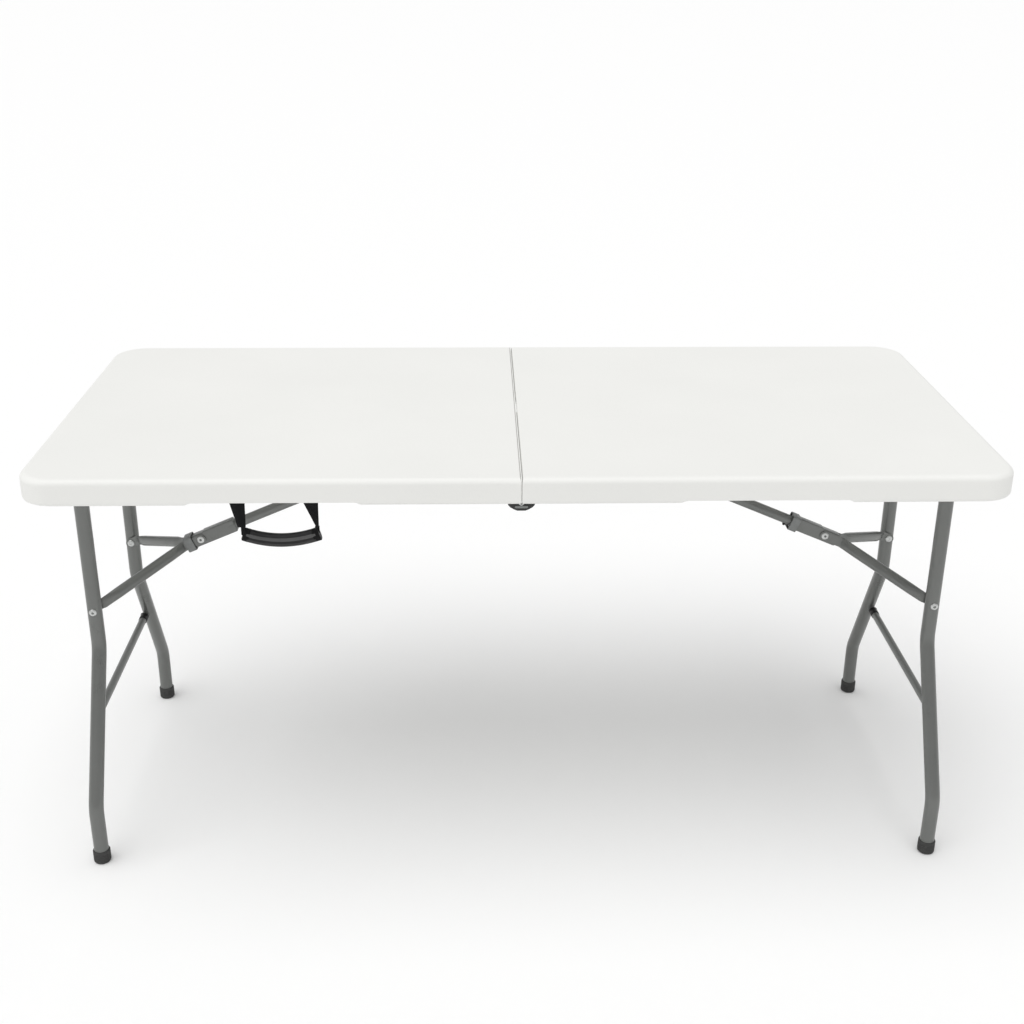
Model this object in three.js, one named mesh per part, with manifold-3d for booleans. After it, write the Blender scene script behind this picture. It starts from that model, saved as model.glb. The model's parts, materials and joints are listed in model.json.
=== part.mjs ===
// Fold-in-half utility table: two moulded half tops hinged at the middle, a wishbone
// leg frame under each half and a folding brace with a sliding lock ring.
// Millimetres, +Z up, origin on the floor under the middle of the table.
// X runs along the table, -Y is the front long side.
import * as THREE from 'three';
import { mergeVertices } from 'three/addons/utils/BufferGeometryUtils.js';
import Module from 'manifold-3d';

const wasm = await Module();
wasm.setup();

// ---------- driving dimensions ----------
const fit = 0.3; // air between two pieces that seat on each other
const slack = 0.2; // air beside a pin's head and along its grip
const past = 2; // how far a cutting tool runs past what it cuts
const sunk = 0.5; // how far two shapes that become one piece run into each other

const table = { length: 1520, width: 700, height: 740, seamGap: 1.8 };
const panel = {
  depth: 42, // apron height, top face to rim
  plate: 11, // thickness of the flat of the top
  sideRim: 25, // apron wall on the long sides
  endRim: 22, // apron wall on the short sides
  corner: 52, // plan radius of the outer corners
  seamCorner: 3,
  topEdge: 8, // round along the top edge
  rimEdge: 4, // round along the rim
  seamEdge: 1.5,
  recessCorner: 30,
};
const arch = { from: 236, to: 512, rise: 5, blend: 16 }; // finger cut-out, from the seam
const groove = { halfWidth: 32, depth: 7.5, pivotClear: 60 }; // clears the folded link
const kneePocket = { halfWidth: 70, depth: 7.5, inward: 93, outward: 34 }; // from the folded knee
const rail = { width: 16, height: 22, wall: 1.5, clearRim: 13.5, clearSeam: 16, clearEnd: 38 };

const leg = {
  tube: 25,
  wall: 1.5,
  inset: 38, // pivot and feet, in from the table's end
  roofClear: 5.5, // air over the folded leg
  topHalfSpan: 144,
  footInset: 73, // foot's middle, in from the table's side
  splayTop: 350,
  splayEnd: 106,
  bend: 62, // bend radius on the tube's axis
};
const cap = { wall: 2.25, height: 24, base: 3, edge: 2, lip: 1 };
const pivotTube = { diameter: 21, wall: 1.5, endClear: 3 };
const bearing = { wall: 3.2, floor: 2, thickness: 22, clear: 3 };
const crossbar = { diameter: 14, height: 235 };
const rivet = { shank: 3.3, head: 6.5, headHeight: 2, kneeHead: 6.6, kneeHeadHeight: 1.2 };

const brace = {
  legHeight: 421, // rivet on the leg
  seatX: 15, // link pivot, out from the seam
  linkTube: 18,
  eyeHalfWidth: 6.3, // flattened end of the link in its clevis
  eyeHalfHeight: 7,
  eyeLength: 44,
  eyeTube: 36, // where the round tube begins, out from the seat
  sleeveWidth: 16.6, // squared end of the link, round the knee
  sleeveHalfHeight: 12,
  sleeveInward: 68,
  sleeveOutward: 28,
  roofClear: 0.5, // air over the ring on the folded link
  strutTube: 19,
  plate: 1.8, // flattened strut end
  plateHalfHeight: 9.5,
  plateStraight: 33, // from the knee to the first bend
  endStraight: 14, // from the leg rivet back to the second bend
  endClear: 0.8, // air between a strut's end and its leg
  tubeFrom: 47, // where the strut is round, out from the knee
  tubeShort: 30, // and back from the leg rivet
  tubeRun: 14, // how far a flattened end runs into the tube
};
const ring = { length: 15, wall: 1.2, lockedAt: 21.5, openAt: -62.5, below: 13.5 };
const stopPin = { radius: 2.2, at: -77, taper: 0.8 };
const clevis = { plate: 2.5, inward: 12, outward: 30, sideClear: 6, earHalfLength: 9 };
const hinge = {
  inset: 9, // left leaf's middle, in from the table's side
  thickness: 3,
  leafGap: 1.5,
  halfWidth: 21.5,
  drop: 13,
  flat: 12,
  armLength: 62,
  armHeight: 14,
  armBase: 2, // lower edge of the arm above the rim
  pocketClear: 2,
  pocketFoot: 5,
  pin: 4,
  pinPast: 1,
};
const handle = {
  centre: 377.7, // from the seam
  span: 111.5, // between the strap middles
  gripLength: 118,
  gripShift: 9.4, // grip's middle, toward the seam
  axisInset: 6.7, // from the apron's inner wall
  axisAboveRim: 1,
  strapWidth: 25,
  strap: 2.5,
  loop: 4.6,
  rod: 2,
  drop: 60, // from the axis to the middle of the grip's ends
  sag: 11,
  gripHeight: 23,
  gripThickness: 17,
  ear: 2.5,
  earHalfLength: 4,
  earBelowRim: 1.5,
  earClear: 0.6,
};

// ---------- places worked out from them ----------
const top = table.height;
const rim = top - panel.depth;
const roof = top - panel.plate;
const halfLength = table.length / 2;
const halfWidth = table.width / 2;
const recessHalfWidth = halfWidth - panel.sideRim;
const recessEnd = halfLength - panel.endRim;
const legX = halfLength - leg.inset;
const footHalfSpan = halfWidth - leg.footInset;
const pivotZ = roof - leg.roofClear - leg.tube / 2;
const crossbarX = legX + (leg.tube - crossbar.diameter) / 2;
const grooveRoof = roof + groove.depth;
const kneePocketRoof = roof + kneePocket.depth;

const railOuter = recessHalfWidth - rail.clearRim;
const railInner = railOuter - rail.width;
const bearingOuter = railInner - bearing.clear;

const clevisTop = grooveRoof - fit;
const clevisBottom = clevisTop - clevis.plate;
const ringTop = brace.sleeveHalfHeight + fit + ring.wall; // above the link's axis
const foldedLinkZ = Math.min(grooveRoof, kneePocketRoof) - brace.roofClear - ringTop;
const seat = new THREE.Vector2(brace.seatX, foldedLinkZ);
const legRivet = new THREE.Vector2(legX, brace.legHeight);
const slope = Math.atan2(seat.y - legRivet.y, legRivet.x - seat.x);
const reach = seat.distanceTo(legRivet);
const foldedRivet = new THREE.Vector2(legX - (pivotZ - brace.legHeight), pivotZ);
const foldedKnee = findFoldedKnee();
const strutReach = foldedKnee.distanceTo(foldedRivet);
const linkReach = reach - strutReach;
const platePlane = brace.sleeveWidth / 2 + fit + brace.plate / 2;
const plateOuter = platePlane + brace.plate / 2 + slack;
const legInnerFace = leg.topHalfSpan - leg.tube / 2;
const tabPlane = legInnerFace - fit - brace.endClear - brace.plate / 2;
const ringHalfWidth = plateOuter + rivet.kneeHeadHeight + fit;
const tubeSides = 16;
const boreSides = 24;

// Open, the knee lies on the straight line from seat to leg rivet. Folded, the link lies
// level and both lengths stay the same, which fixes where the knee divides the line.
function findFoldedKnee() {
  const knee = new THREE.Vector2(0, foldedLinkZ);
  let near = foldedRivet.x;
  let far = legX;
  for (let halving = 0; halving < 40; halving++) {
    knee.x = (near + far) / 2;
    if (knee.distanceTo(foldedRivet) + knee.distanceTo(seat) < reach) near = knee.x;
    else far = knee.x;
  }
  return knee;
}

// ---------- materials ----------
const material = (color, roughness, metalness = 0) =>
  new THREE.MeshStandardMaterial({ color, roughness, metalness });
const whitePlastic = material(0xf0f0ec, 0.6);
const greyPaint = material(0x7d7f7c, 0.45, 0.3);
const darkSteel = material(0x4c4e4c, 0.5, 0.6);
const zinc = material(0xc8c9c6, 0.3, 0.9);
const rubber = material(0x333331, 0.85);
const blackPlastic = material(0x1b1b1b, 0.55);
const webbing = material(0x161616, 0.9);

// ---------- solid helpers ----------
function solid(geometry) {
  const bare = geometry.clone();
  bare.deleteAttribute('normal');
  bare.deleteAttribute('uv');
  const merged = mergeVertices(bare, 1e-4);
  return new wasm.Manifold(new wasm.Mesh({
    numProp: 3,
    vertProperties: new Float32Array(merged.attributes.position.array),
    triVerts: new Uint32Array(merged.index.array),
  }));
}

function geometryOf(manifold) {
  const mesh = manifold.getMesh();
  const geometry = new THREE.BufferGeometry();
  geometry.setAttribute('position', new THREE.BufferAttribute(mesh.vertProperties, 3));
  geometry.setIndex(new THREE.BufferAttribute(mesh.triVerts, 1));
  geometry.computeVertexNormals();
  return geometry;
}

const join = (...parts) => geometryOf(parts.map(solid).reduce((all, next) => all.add(next)));
const cut = (body, ...tools) =>
  geometryOf(tools.map(solid).reduce((left, tool) => left.subtract(tool), solid(body)));
const common = (one, other) => geometryOf(solid(one).intersect(solid(other)));

function rectangle(x0, x1, y0, y1) {
  const shape = new THREE.Shape();
  shape.moveTo(x0, y0);
  shape.lineTo(x1, y0);
  shape.lineTo(x1, y1);
  shape.lineTo(x0, y1);
  shape.closePath();
  return shape;
}

const extrude = (shape, depth, curveSegments = 8) =>
  new THREE.ExtrudeGeometry(shape, { depth, bevelEnabled: false, curveSegments });
const plateXY = (shape, z0, z1) => extrude(shape, z1 - z0).translate(0, 0, z0);
const plateXZ = (shape, y0, y1) => extrude(shape, y1 - y0).rotateX(Math.PI / 2).translate(0, y1, 0);
const toYZ = new THREE.Matrix4().makeBasis(
  new THREE.Vector3(0, 1, 0), new THREE.Vector3(0, 0, 1), new THREE.Vector3(1, 0, 0));
const plateYZ = (shape, x0, x1) => extrude(shape, x1 - x0).applyMatrix4(toYZ).translate(x0, 0, 0);

function box(x0, x1, y0, y1, z0, z1) {
  const geometry = new THREE.BoxGeometry(x1 - x0, y1 - y0, z1 - z0);
  return geometry.translate((x0 + x1) / 2, (y0 + y1) / 2, (z0 + z1) / 2);
}

function rodY(radius, y0, y1, x, z, segments = tubeSides) {
  const rod = new THREE.CylinderGeometry(radius, radius, y1 - y0, segments);
  return rod.translate(x, (y0 + y1) / 2, z);
}

function ringShape(outer, inner, segments = tubeSides) {
  const around = (radius) => Array.from({ length: segments }, (_, i) => {
    const angle = (2 * Math.PI * i) / segments;
    return new THREE.Vector2(radius * Math.cos(angle), radius * Math.sin(angle));
  });
  const shape = new THREE.Shape(around(outer));
  if (inner > 0) shape.holes.push(new THREE.Path(around(inner)));
  return shape;
}

// A path of straight runs with round bends, stepped only where it bends.
class BentPath extends THREE.Curve {
  constructor(points, radius, steps = 6) {
    super();
    this.places = [points[0].clone()];
    this.ways = [points[1].clone().sub(points[0]).normalize()];
    for (let i = 1; i < points.length - 1; i++) {
      const before = points[i].clone().sub(points[i - 1]).normalize();
      const after = points[i + 1].clone().sub(points[i]).normalize();
      const turn = before.angleTo(after);
      const run = radius * Math.tan(turn / 2);
      const start = points[i].clone().addScaledVector(before, -run);
      const side = after.clone().addScaledVector(before, -after.dot(before)).normalize();
      for (let k = 0; k <= steps; k++) {
        const angle = (turn * k) / steps;
        this.places.push(start.clone()
          .addScaledVector(before, radius * Math.sin(angle))
          .addScaledVector(side, radius * (1 - Math.cos(angle))));
        this.ways.push(before.clone().multiplyScalar(Math.cos(angle))
          .addScaledVector(side, Math.sin(angle)));
      }
    }
    const last = points.length - 1;
    this.places.push(points[last].clone());
    this.ways.push(points[last].clone().sub(points[last - 1]).normalize());
    this.steps = this.places.length - 1;
  }

  getPointAt(u) {
    return this.places[Math.round(u * this.steps)].clone();
  }

  getTangentAt(u) {
    return this.ways[Math.round(u * this.steps)].clone();
  }

  getSpacedPoints() {
    return this.places.map((place) => place.clone());
  }
}

function tube(points, diameter, wall, bend = 1) {
  const path = new BentPath(points, bend);
  const shape = ringShape(diameter / 2, wall > 0 ? diameter / 2 - wall : 0);
  return new THREE.ExtrudeGeometry(shape, { extrudePath: path, steps: path.steps });
}

// A strip bent in the X-Y plane: its middle line, thickness and height range.
function strip(line, thickness, z0, z1) {
  const ways = line.slice(1).map((point, i) => point.clone().sub(line[i]).normalize());
  const edge = (offset) => line.map((point, i) => {
    const before = ways[Math.max(i - 1, 0)];
    const after = ways[Math.min(i, ways.length - 1)];
    const mitre = before.clone().add(after).normalize();
    const out = offset / mitre.dot(after);
    return new THREE.Vector2(point.x - out * mitre.y, point.y + out * mitre.x);
  });
  const outline = [...edge(-thickness / 2), ...edge(thickness / 2).reverse()];
  return plateXY(new THREE.Shape(outline), z0, z1);
}

// A closed skin through outlines that all have the same number of points.
function loft(levels) {
  const count = levels[0].points.length;
  const positions = levels.flatMap(({ points, z }) => points.flatMap((p) => [p.x, p.y, z]));
  const index = [];
  for (let level = 0; level + 1 < levels.length; level++) {
    for (let i = 0; i < count; i++) {
      const a = level * count + i;
      const b = level * count + ((i + 1) % count);
      index.push(a, b, b + count, a, b + count, a + count);
    }
  }
  const lid = THREE.ShapeUtils.triangulateShape(levels[0].points, []);
  const last = (levels.length - 1) * count;
  for (const [a, b, c] of lid) index.push(a, c, b, last + a, last + b, last + c);
  const geometry = new THREE.BufferGeometry();
  geometry.setAttribute('position', new THREE.Float32BufferAttribute(positions, 3));
  geometry.setIndex(index);
  return geometry;
}

// ---------- half top ----------
function panelOutline(inset) {
  const seamInset = (inset * panel.seamEdge) / panel.topEdge;
  const x0 = table.seamGap / 2 + seamInset;
  const x1 = halfLength - inset;
  const y = halfWidth - inset;
  const outer = panel.corner - inset;
  const points = [];
  const corner = (cx, cy, radius, start, steps) => {
    for (let i = 0; i <= steps; i++) {
      const angle = start + (Math.PI / 2) * (i / steps);
      points.push(new THREE.Vector2(cx + radius * Math.cos(angle), cy + radius * Math.sin(angle)));
    }
  };
  corner(x0 + panel.seamCorner, -y + panel.seamCorner, panel.seamCorner, Math.PI, 2);
  corner(x1 - outer, -y + outer, outer, -Math.PI / 2, 8);
  corner(x1 - outer, y - outer, outer, 0, 8);
  corner(x0 + panel.seamCorner, y - panel.seamCorner, panel.seamCorner, Math.PI / 2, 2);
  return points;
}

function panelBlank() {
  const levels = [];
  const steps = 3;
  for (let i = 0; i <= steps; i++) {
    const angle = (Math.PI / 2) * (i / steps);
    const inset = panel.rimEdge * (1 - Math.sin(angle));
    levels.push({ z: rim + panel.rimEdge * (1 - Math.cos(angle)), points: panelOutline(inset) });
  }
  for (let i = 0; i <= steps; i++) {
    const angle = (Math.PI / 2) * (i / steps);
    const inset = panel.topEdge * (1 - Math.cos(angle));
    levels.push({ z: top - panel.topEdge * (1 - Math.sin(angle)), points: panelOutline(inset) });
  }
  return loft(levels);
}

function recessShape() {
  const radius = panel.recessCorner;
  const shape = new THREE.Shape();
  shape.moveTo(-past, -recessHalfWidth);
  shape.lineTo(recessEnd - radius, -recessHalfWidth);
  shape.absarc(recessEnd - radius, -recessHalfWidth + radius, radius, -Math.PI / 2, 0);
  shape.lineTo(recessEnd, recessHalfWidth - radius);
  shape.absarc(recessEnd - radius, recessHalfWidth - radius, radius, 0, Math.PI / 2);
  shape.lineTo(-past, recessHalfWidth);
  shape.closePath();
  return shape;
}

function archShape() {
  const low = rim - past;
  const high = rim + arch.rise;
  const shape = new THREE.Shape();
  shape.moveTo(arch.from, low);
  shape.bezierCurveTo(arch.from + arch.blend / 2, low, arch.from + arch.blend / 2, high,
    arch.from + arch.blend, high);
  shape.lineTo(arch.to - arch.blend, high);
  shape.bezierCurveTo(arch.to - arch.blend / 2, high, arch.to - arch.blend / 2, low, arch.to, low);
  shape.closePath();
  return shape;
}

// Middle plane of a side's leaves, from the table's middle.
function leafPlane(side) {
  const leftPlane = halfWidth - hinge.inset;
  return side === 'left' ? leftPlane : leftPlane - hinge.thickness - hinge.leafGap;
}

// The range across the table that both leaves of one end take up, with air beside them.
function leafRange(sign, air) {
  const low = leafPlane('right') - hinge.thickness / 2 - air;
  const high = leafPlane('left') + hinge.thickness / 2 + air;
  return sign > 0 ? [low, high] : [-high, -low];
}

function hingePocket(sign) {
  const air = hinge.pocketClear;
  const [y0, y1] = leafRange(sign, air);
  return [
    rodY(hinge.halfWidth + air / 2, y0, y1, 0, rim, boreSides),
    box(-hinge.pocketFoot, hinge.armLength + air, y0, y1, rim - past, rim + hinge.armHeight + air),
  ];
}

function topPanel() {
  const wallInside = recessHalfWidth - past;
  const wallOutside = halfWidth + past;
  return cut(panelBlank(),
    plateXY(recessShape(), rim - past, roof),
    box(-past, legX - groove.pivotClear, -groove.halfWidth, groove.halfWidth,
      roof - past, grooveRoof),
    box(foldedKnee.x - kneePocket.inward, foldedKnee.x + kneePocket.outward,
      -kneePocket.halfWidth, kneePocket.halfWidth, roof - past, kneePocketRoof),
    plateXZ(archShape(), -wallOutside, -wallInside),
    plateXZ(archShape(), wallInside, wallOutside),
    ...hingePocket(-1), ...hingePocket(1));
}

function railTube(sign) {
  const y = sign > 0 ? railInner : -railOuter;
  const z = roof - fit - rail.height;
  const shape = rectangle(y, y + rail.width, z, z + rail.height);
  const hole = rectangle(y + rail.wall, y + rail.width - rail.wall,
    z + rail.wall, z + rail.height - rail.wall);
  shape.holes.push(new THREE.Path(hole.getPoints()));
  return plateYZ(shape, rail.clearSeam, recessEnd - rail.clearEnd);
}

function legBearing(sign) {
  const outer = bearingOuter;
  const inner = bearingOuter - bearing.thickness;
  const [y0, y1] = sign > 0 ? [inner, outer] : [-outer, -inner];
  const bore = pivotTube.diameter / 2 + fit;
  const half = bore + bearing.wall;
  const block = box(legX - half, legX + half, y0, y1, pivotZ - bore - bearing.floor, roof - fit);
  return cut(block, rodY(bore, y0 - past, y1 + past, legX, pivotZ, boreSides));
}

function linkClevis() {
  const inner = brace.eyeHalfWidth + 2 * fit;
  const outer = inner + clevis.plate;
  const half = clevis.earHalfLength;
  const halfWide = groove.halfWidth - clevis.sideClear;
  const ear = (y0, y1) => box(seat.x - half, seat.x + half, y0, y1,
    seat.y - half, clevisBottom + sunk);
  const bracket = join(
    box(seat.x - clevis.inward, seat.x + clevis.outward, -halfWide, halfWide,
      clevisBottom, clevisTop),
    ear(-outer, -inner), ear(inner, outer));
  return cut(bracket, rodY(rivet.shank + fit, -outer - past, outer + past, seat.x, seat.y));
}

function clevisPin() {
  const half = brace.eyeHalfWidth + 2 * fit + clevis.plate + slack;
  return headedPin(-half, half, seat.x, seat.y, true, true);
}

// A shank from y0 to y1, with a head past either end.
function headedPin(y0, y1, x, z, headAtStart, headAtEnd,
  head = rivet.head, height = rivet.headHeight) {
  const seam = sunk / 50;
  const parts = [rodY(rivet.shank, y0, y1, x, z)];
  if (headAtStart) parts.push(rodY(head, y0 - height, y0 + seam, x, z, boreSides));
  if (headAtEnd) parts.push(rodY(head, y1 - seam, y1 + height, x, z, boreSides));
  return join(...parts);
}

// A half disc under the rim, with an arm that screws inside the apron wall.
function hingeLeaf(side, sign) {
  const bulge = 0.8;
  const shape = new THREE.Shape();
  shape.moveTo(hinge.armLength, hinge.armBase);
  shape.lineTo(hinge.armLength, hinge.armHeight);
  shape.lineTo(0, hinge.armHeight);
  shape.quadraticCurveTo(-hinge.halfWidth * bulge, hinge.armHeight * bulge, -hinge.halfWidth, 0);
  shape.lineTo(-hinge.flat / 2, -hinge.drop);
  shape.lineTo(hinge.flat / 2, -hinge.drop);
  shape.lineTo(hinge.halfWidth, 0);
  shape.lineTo(hinge.halfWidth + 2 * hinge.armBase, hinge.armBase);
  shape.closePath();
  const middle = sign * leafPlane(side);
  const leaf = plateXZ(shape, middle - hinge.thickness / 2, middle + hinge.thickness / 2);
  leaf.translate(0, 0, rim);
  const half = hinge.thickness / 2 + past;
  return cut(leaf, rodY(hinge.pin + fit, middle - half, middle + half, 0, rim));
}

function hingePin(sign) {
  const [y0, y1] = leafRange(sign, hinge.pinPast);
  return rodY(hinge.pin, y0, y1, 0, rim);
}

// ---------- leg frame ----------
function legPath(sign, high, low) {
  const at = (y, z) => new THREE.Vector3(legX, sign * y, z);
  return [at(leg.topHalfSpan, high), at(leg.topHalfSpan, leg.splayTop),
    at(footHalfSpan, leg.splayEnd), at(footHalfSpan, low)];
}

function legTube(sign) {
  const y0 = sign * leg.topHalfSpan - leg.tube;
  const y1 = sign * leg.topHalfSpan + leg.tube;
  return cut(tube(legPath(sign, pivotZ, cap.base + fit), leg.tube, leg.wall, leg.bend),
    rodY(pivotTube.diameter / 2 + fit, y0, y1, legX, pivotZ, boreSides),
    rodY(rivet.shank + fit, y0, y1, legX, brace.legHeight));
}

// Runs from leg to leg, its ends shaped to the legs' outer skin.
function crossbarTube() {
  const share = (leg.splayTop - crossbar.height) / (leg.splayTop - leg.splayEnd);
  const end = leg.topHalfSpan + share * (footHalfSpan - leg.topHalfSpan)
    - (leg.tube - crossbar.diameter) / 2;
  const bar = rodY(crossbar.diameter / 2, -end, end, crossbarX, crossbar.height);
  const skin = (sign) => tube(legPath(sign, pivotZ, cap.base), leg.tube + 2 * fit, 0, leg.bend);
  return cut(bar, skin(-1), skin(1));
}

function pivotCrossTube() {
  const half = railInner - pivotTube.endClear;
  const radius = pivotTube.diameter / 2;
  return cut(rodY(radius, -half, half, legX, pivotZ),
    rodY(radius - pivotTube.wall, -half - past, half + past, legX, pivotZ));
}

function legRivetPin(sign) {
  const near = legInnerFace + fit;
  const far = leg.topHalfSpan + leg.tube / 2 + slack;
  const [y0, y1] = sign > 0 ? [near, far] : [-far, -near];
  return headedPin(y0, y1, legX, brace.legHeight, sign < 0, sign > 0);
}

function footCap(sign) {
  const inner = leg.tube / 2 + fit;
  const outer = leg.tube / 2 + cap.wall;
  const profile = [[0, 0], [outer - cap.edge, 0], [outer, cap.edge],
    [outer - cap.lip / 2, cap.height - cap.lip], [outer - 1.5 * cap.lip, cap.height],
    [inner, cap.height], [inner, cap.base], [0, cap.base]];
  const points = profile.map(([x, y]) => new THREE.Vector2(x, y));
  const geometry = new THREE.LatheGeometry(points, boreSides).rotateX(Math.PI / 2);
  return geometryOf(solid(geometry.translate(legX, sign * footHalfSpan, 0)));
}

// ---------- folding brace, in its own frame: +X from the knee to the leg rivet ----------
function strut(sign) {
  const half = brace.plateHalfHeight;
  const first = new THREE.Vector2(brace.plateStraight, platePlane);
  const second = new THREE.Vector2(strutReach - brace.endStraight, tabPlane);
  const way = second.clone().sub(first).normalize();
  const onSlope = (x) => first.clone().addScaledVector(way, (x - first.x) / way.x);
  const tubeTo = strutReach - brace.tubeShort;
  const from = onSlope(brace.tubeFrom);
  const to = onSlope(tubeTo);
  const start = new THREE.Vector2(-half - past, platePlane);
  const finish = new THREE.Vector2(strutReach + half + past, tabPlane);
  const kneeLine = [start, first, onSlope(brace.tubeFrom + brace.tubeRun)];
  const legLine = [onSlope(tubeTo - brace.tubeRun), second, finish];
  const stadium = new THREE.Shape();
  stadium.absarc(strutReach, 0, half, -Math.PI / 2, Math.PI / 2);
  stadium.absarc(0, 0, half, Math.PI / 2, (3 * Math.PI) / 2);
  const plates = common(
    join(strip(kneeLine, brace.plate, -half, half), strip(legLine, brace.plate, -half, half)),
    plateXZ(stadium, 0, tabPlane + brace.strutTube));
  const round = tube([new THREE.Vector3(from.x, from.y, 0), new THREE.Vector3(to.x, to.y, 0)],
    brace.strutTube, 0);
  const hole = (x, y) =>
    rodY(rivet.shank + fit, y - brace.plate / 2 - past, y + brace.plate / 2 + past, x, 0);
  const right = cut(join(round, plates), hole(0, platePlane), hole(strutReach, tabPlane));
  return sign > 0 ? right : right.rotateX(Math.PI);
}

function strutRivetPin(sign) {
  const near = tabPlane - brace.plate / 2 - slack;
  const far = tabPlane + brace.plate / 2;
  const [y0, y1] = sign > 0 ? [near, far] : [-far, -near];
  return headedPin(y0, y1, strutReach, 0, sign > 0, sign < 0);
}

// ---------- link, in its own frame: +X from the seat to the knee ----------
function link() {
  const eyeHalf = brace.eyeHalfHeight;
  const eye = new THREE.Shape();
  eye.absarc(0, 0, eyeHalf, Math.PI / 2, (3 * Math.PI) / 2);
  eye.lineTo(brace.eyeLength, -eyeHalf);
  eye.lineTo(brace.eyeLength, eyeHalf);
  eye.closePath();
  const sleeveFrom = linkReach - brace.sleeveInward;
  const width = brace.sleeveWidth / 2;
  const high = brace.sleeveHalfHeight;
  const sleeve = rectangle(sleeveFrom, linkReach + brace.sleeveOutward, -high, high);
  const round = tube([new THREE.Vector3(brace.eyeTube, 0, 0),
    new THREE.Vector3(sleeveFrom + brace.tubeRun, 0, 0)], brace.linkTube, 0);
  const hole = (x) => rodY(rivet.shank + fit, -width - past, width + past, x, 0);
  return cut(
    join(round, plateXZ(eye, -brace.eyeHalfWidth, brace.eyeHalfWidth), plateXZ(sleeve, -width, width)),
    hole(0), hole(linkReach));
}

function kneeRivet() {
  return headedPin(-plateOuter, plateOuter, linkReach, 0, true, true,
    rivet.kneeHead, rivet.kneeHeadHeight);
}

// A square loop round the link, far enough out to pass the knee rivet's heads.
function lockRing(at) {
  const outerY = ringHalfWidth + ring.wall;
  const outer = rectangle(-outerY, outerY, -ring.below - ring.wall, ringTop);
  const inner = rectangle(-ringHalfWidth, ringHalfWidth, -ring.below, ringTop - ring.wall);
  outer.holes.push(new THREE.Path(inner.getPoints()));
  const from = linkReach + at - ring.length / 2;
  return plateYZ(outer, from, from + ring.length);
}

// A button under the link, just short enough for the ring to slide over.
function ringStop() {
  const from = -brace.linkTube / 2 - fit;
  const length = from + ring.below - fit;
  const pin = new THREE.CylinderGeometry(
    stopPin.radius, stopPin.radius * stopPin.taper, length, tubeSides);
  pin.rotateX(Math.PI / 2);
  return pin.translate(linkReach + stopPin.at, 0, from - length / 2);
}

// ---------- carry handle, in the table's frame ----------
const handleY = -(recessHalfWidth - handle.axisInset);
const handleZ = rim + handle.axisAboveRim;

function handleAnchor(x) {
  const inner = handle.strapWidth / 2 + handle.earClear;
  const outer = inner + handle.ear;
  const y0 = handleY - handle.earHalfLength;
  const y1 = handleY + handle.earHalfLength;
  const base = roof - fit;
  const ear = (x0, x1) => box(x0, x1, y0, y1, rim - handle.earBelowRim, base);
  const rod = new THREE.CylinderGeometry(handle.rod, handle.rod, 2 * (inner + sunk), tubeSides);
  rod.rotateZ(Math.PI / 2).translate(x, handleY, handleZ);
  return join(ear(x - outer, x - inner), ear(x + inner, x + outer),
    box(x - outer, x + outer, y0, y1, base - handle.ear, base), rod);
}

function handleStrap(x) {
  const bottom = -handle.drop + handle.gripHeight / 2 + fit;
  const inner = handle.rod + fit;
  const half = handle.strap / 2;
  const shape = new THREE.Shape();
  const start = Math.asin(half / handle.loop);
  shape.moveTo(-half, bottom);
  shape.lineTo(half, bottom);
  shape.absarc(0, 0, handle.loop, -Math.PI / 2 + start, (3 * Math.PI) / 2 - start);
  shape.closePath();
  shape.holes.push(new THREE.Path(ringShape(inner, 0).getPoints()));
  const strapBody = plateYZ(shape, x - handle.strapWidth / 2, x + handle.strapWidth / 2);
  return strapBody.translate(0, handleY, handleZ);
}

// A softly squared bar that sags between its ends.
function handleGrip() {
  const squareness = 0.7;
  const x = -handle.centre + handle.gripShift;
  const endZ = handleZ - handle.drop;
  const at = (along, z) => new THREE.Vector3(x + along, handleY, z);
  const curve = new THREE.QuadraticBezierCurve3(at(-handle.gripLength / 2, endZ),
    at(0, endZ - 2 * handle.sag), at(handle.gripLength / 2, endZ));
  const bulge = (value) => Math.sign(value) * Math.abs(value) ** squareness;
  const section = ringShape(1, 0).getPoints().map((point) => new THREE.Vector2(
    (handle.gripHeight / 2) * bulge(point.x), (handle.gripThickness / 2) * bulge(point.y)));
  return new THREE.ExtrudeGeometry(new THREE.Shape(section),
    { extrudePath: curve, steps: tubeSides });
}

// ---------- assembly ----------
const whole = new THREE.Group();

function place(group, name, geometry, surface) {
  const mesh = new THREE.Mesh(geometry, surface);
  mesh.name = name;
  group.add(mesh);
}

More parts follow.
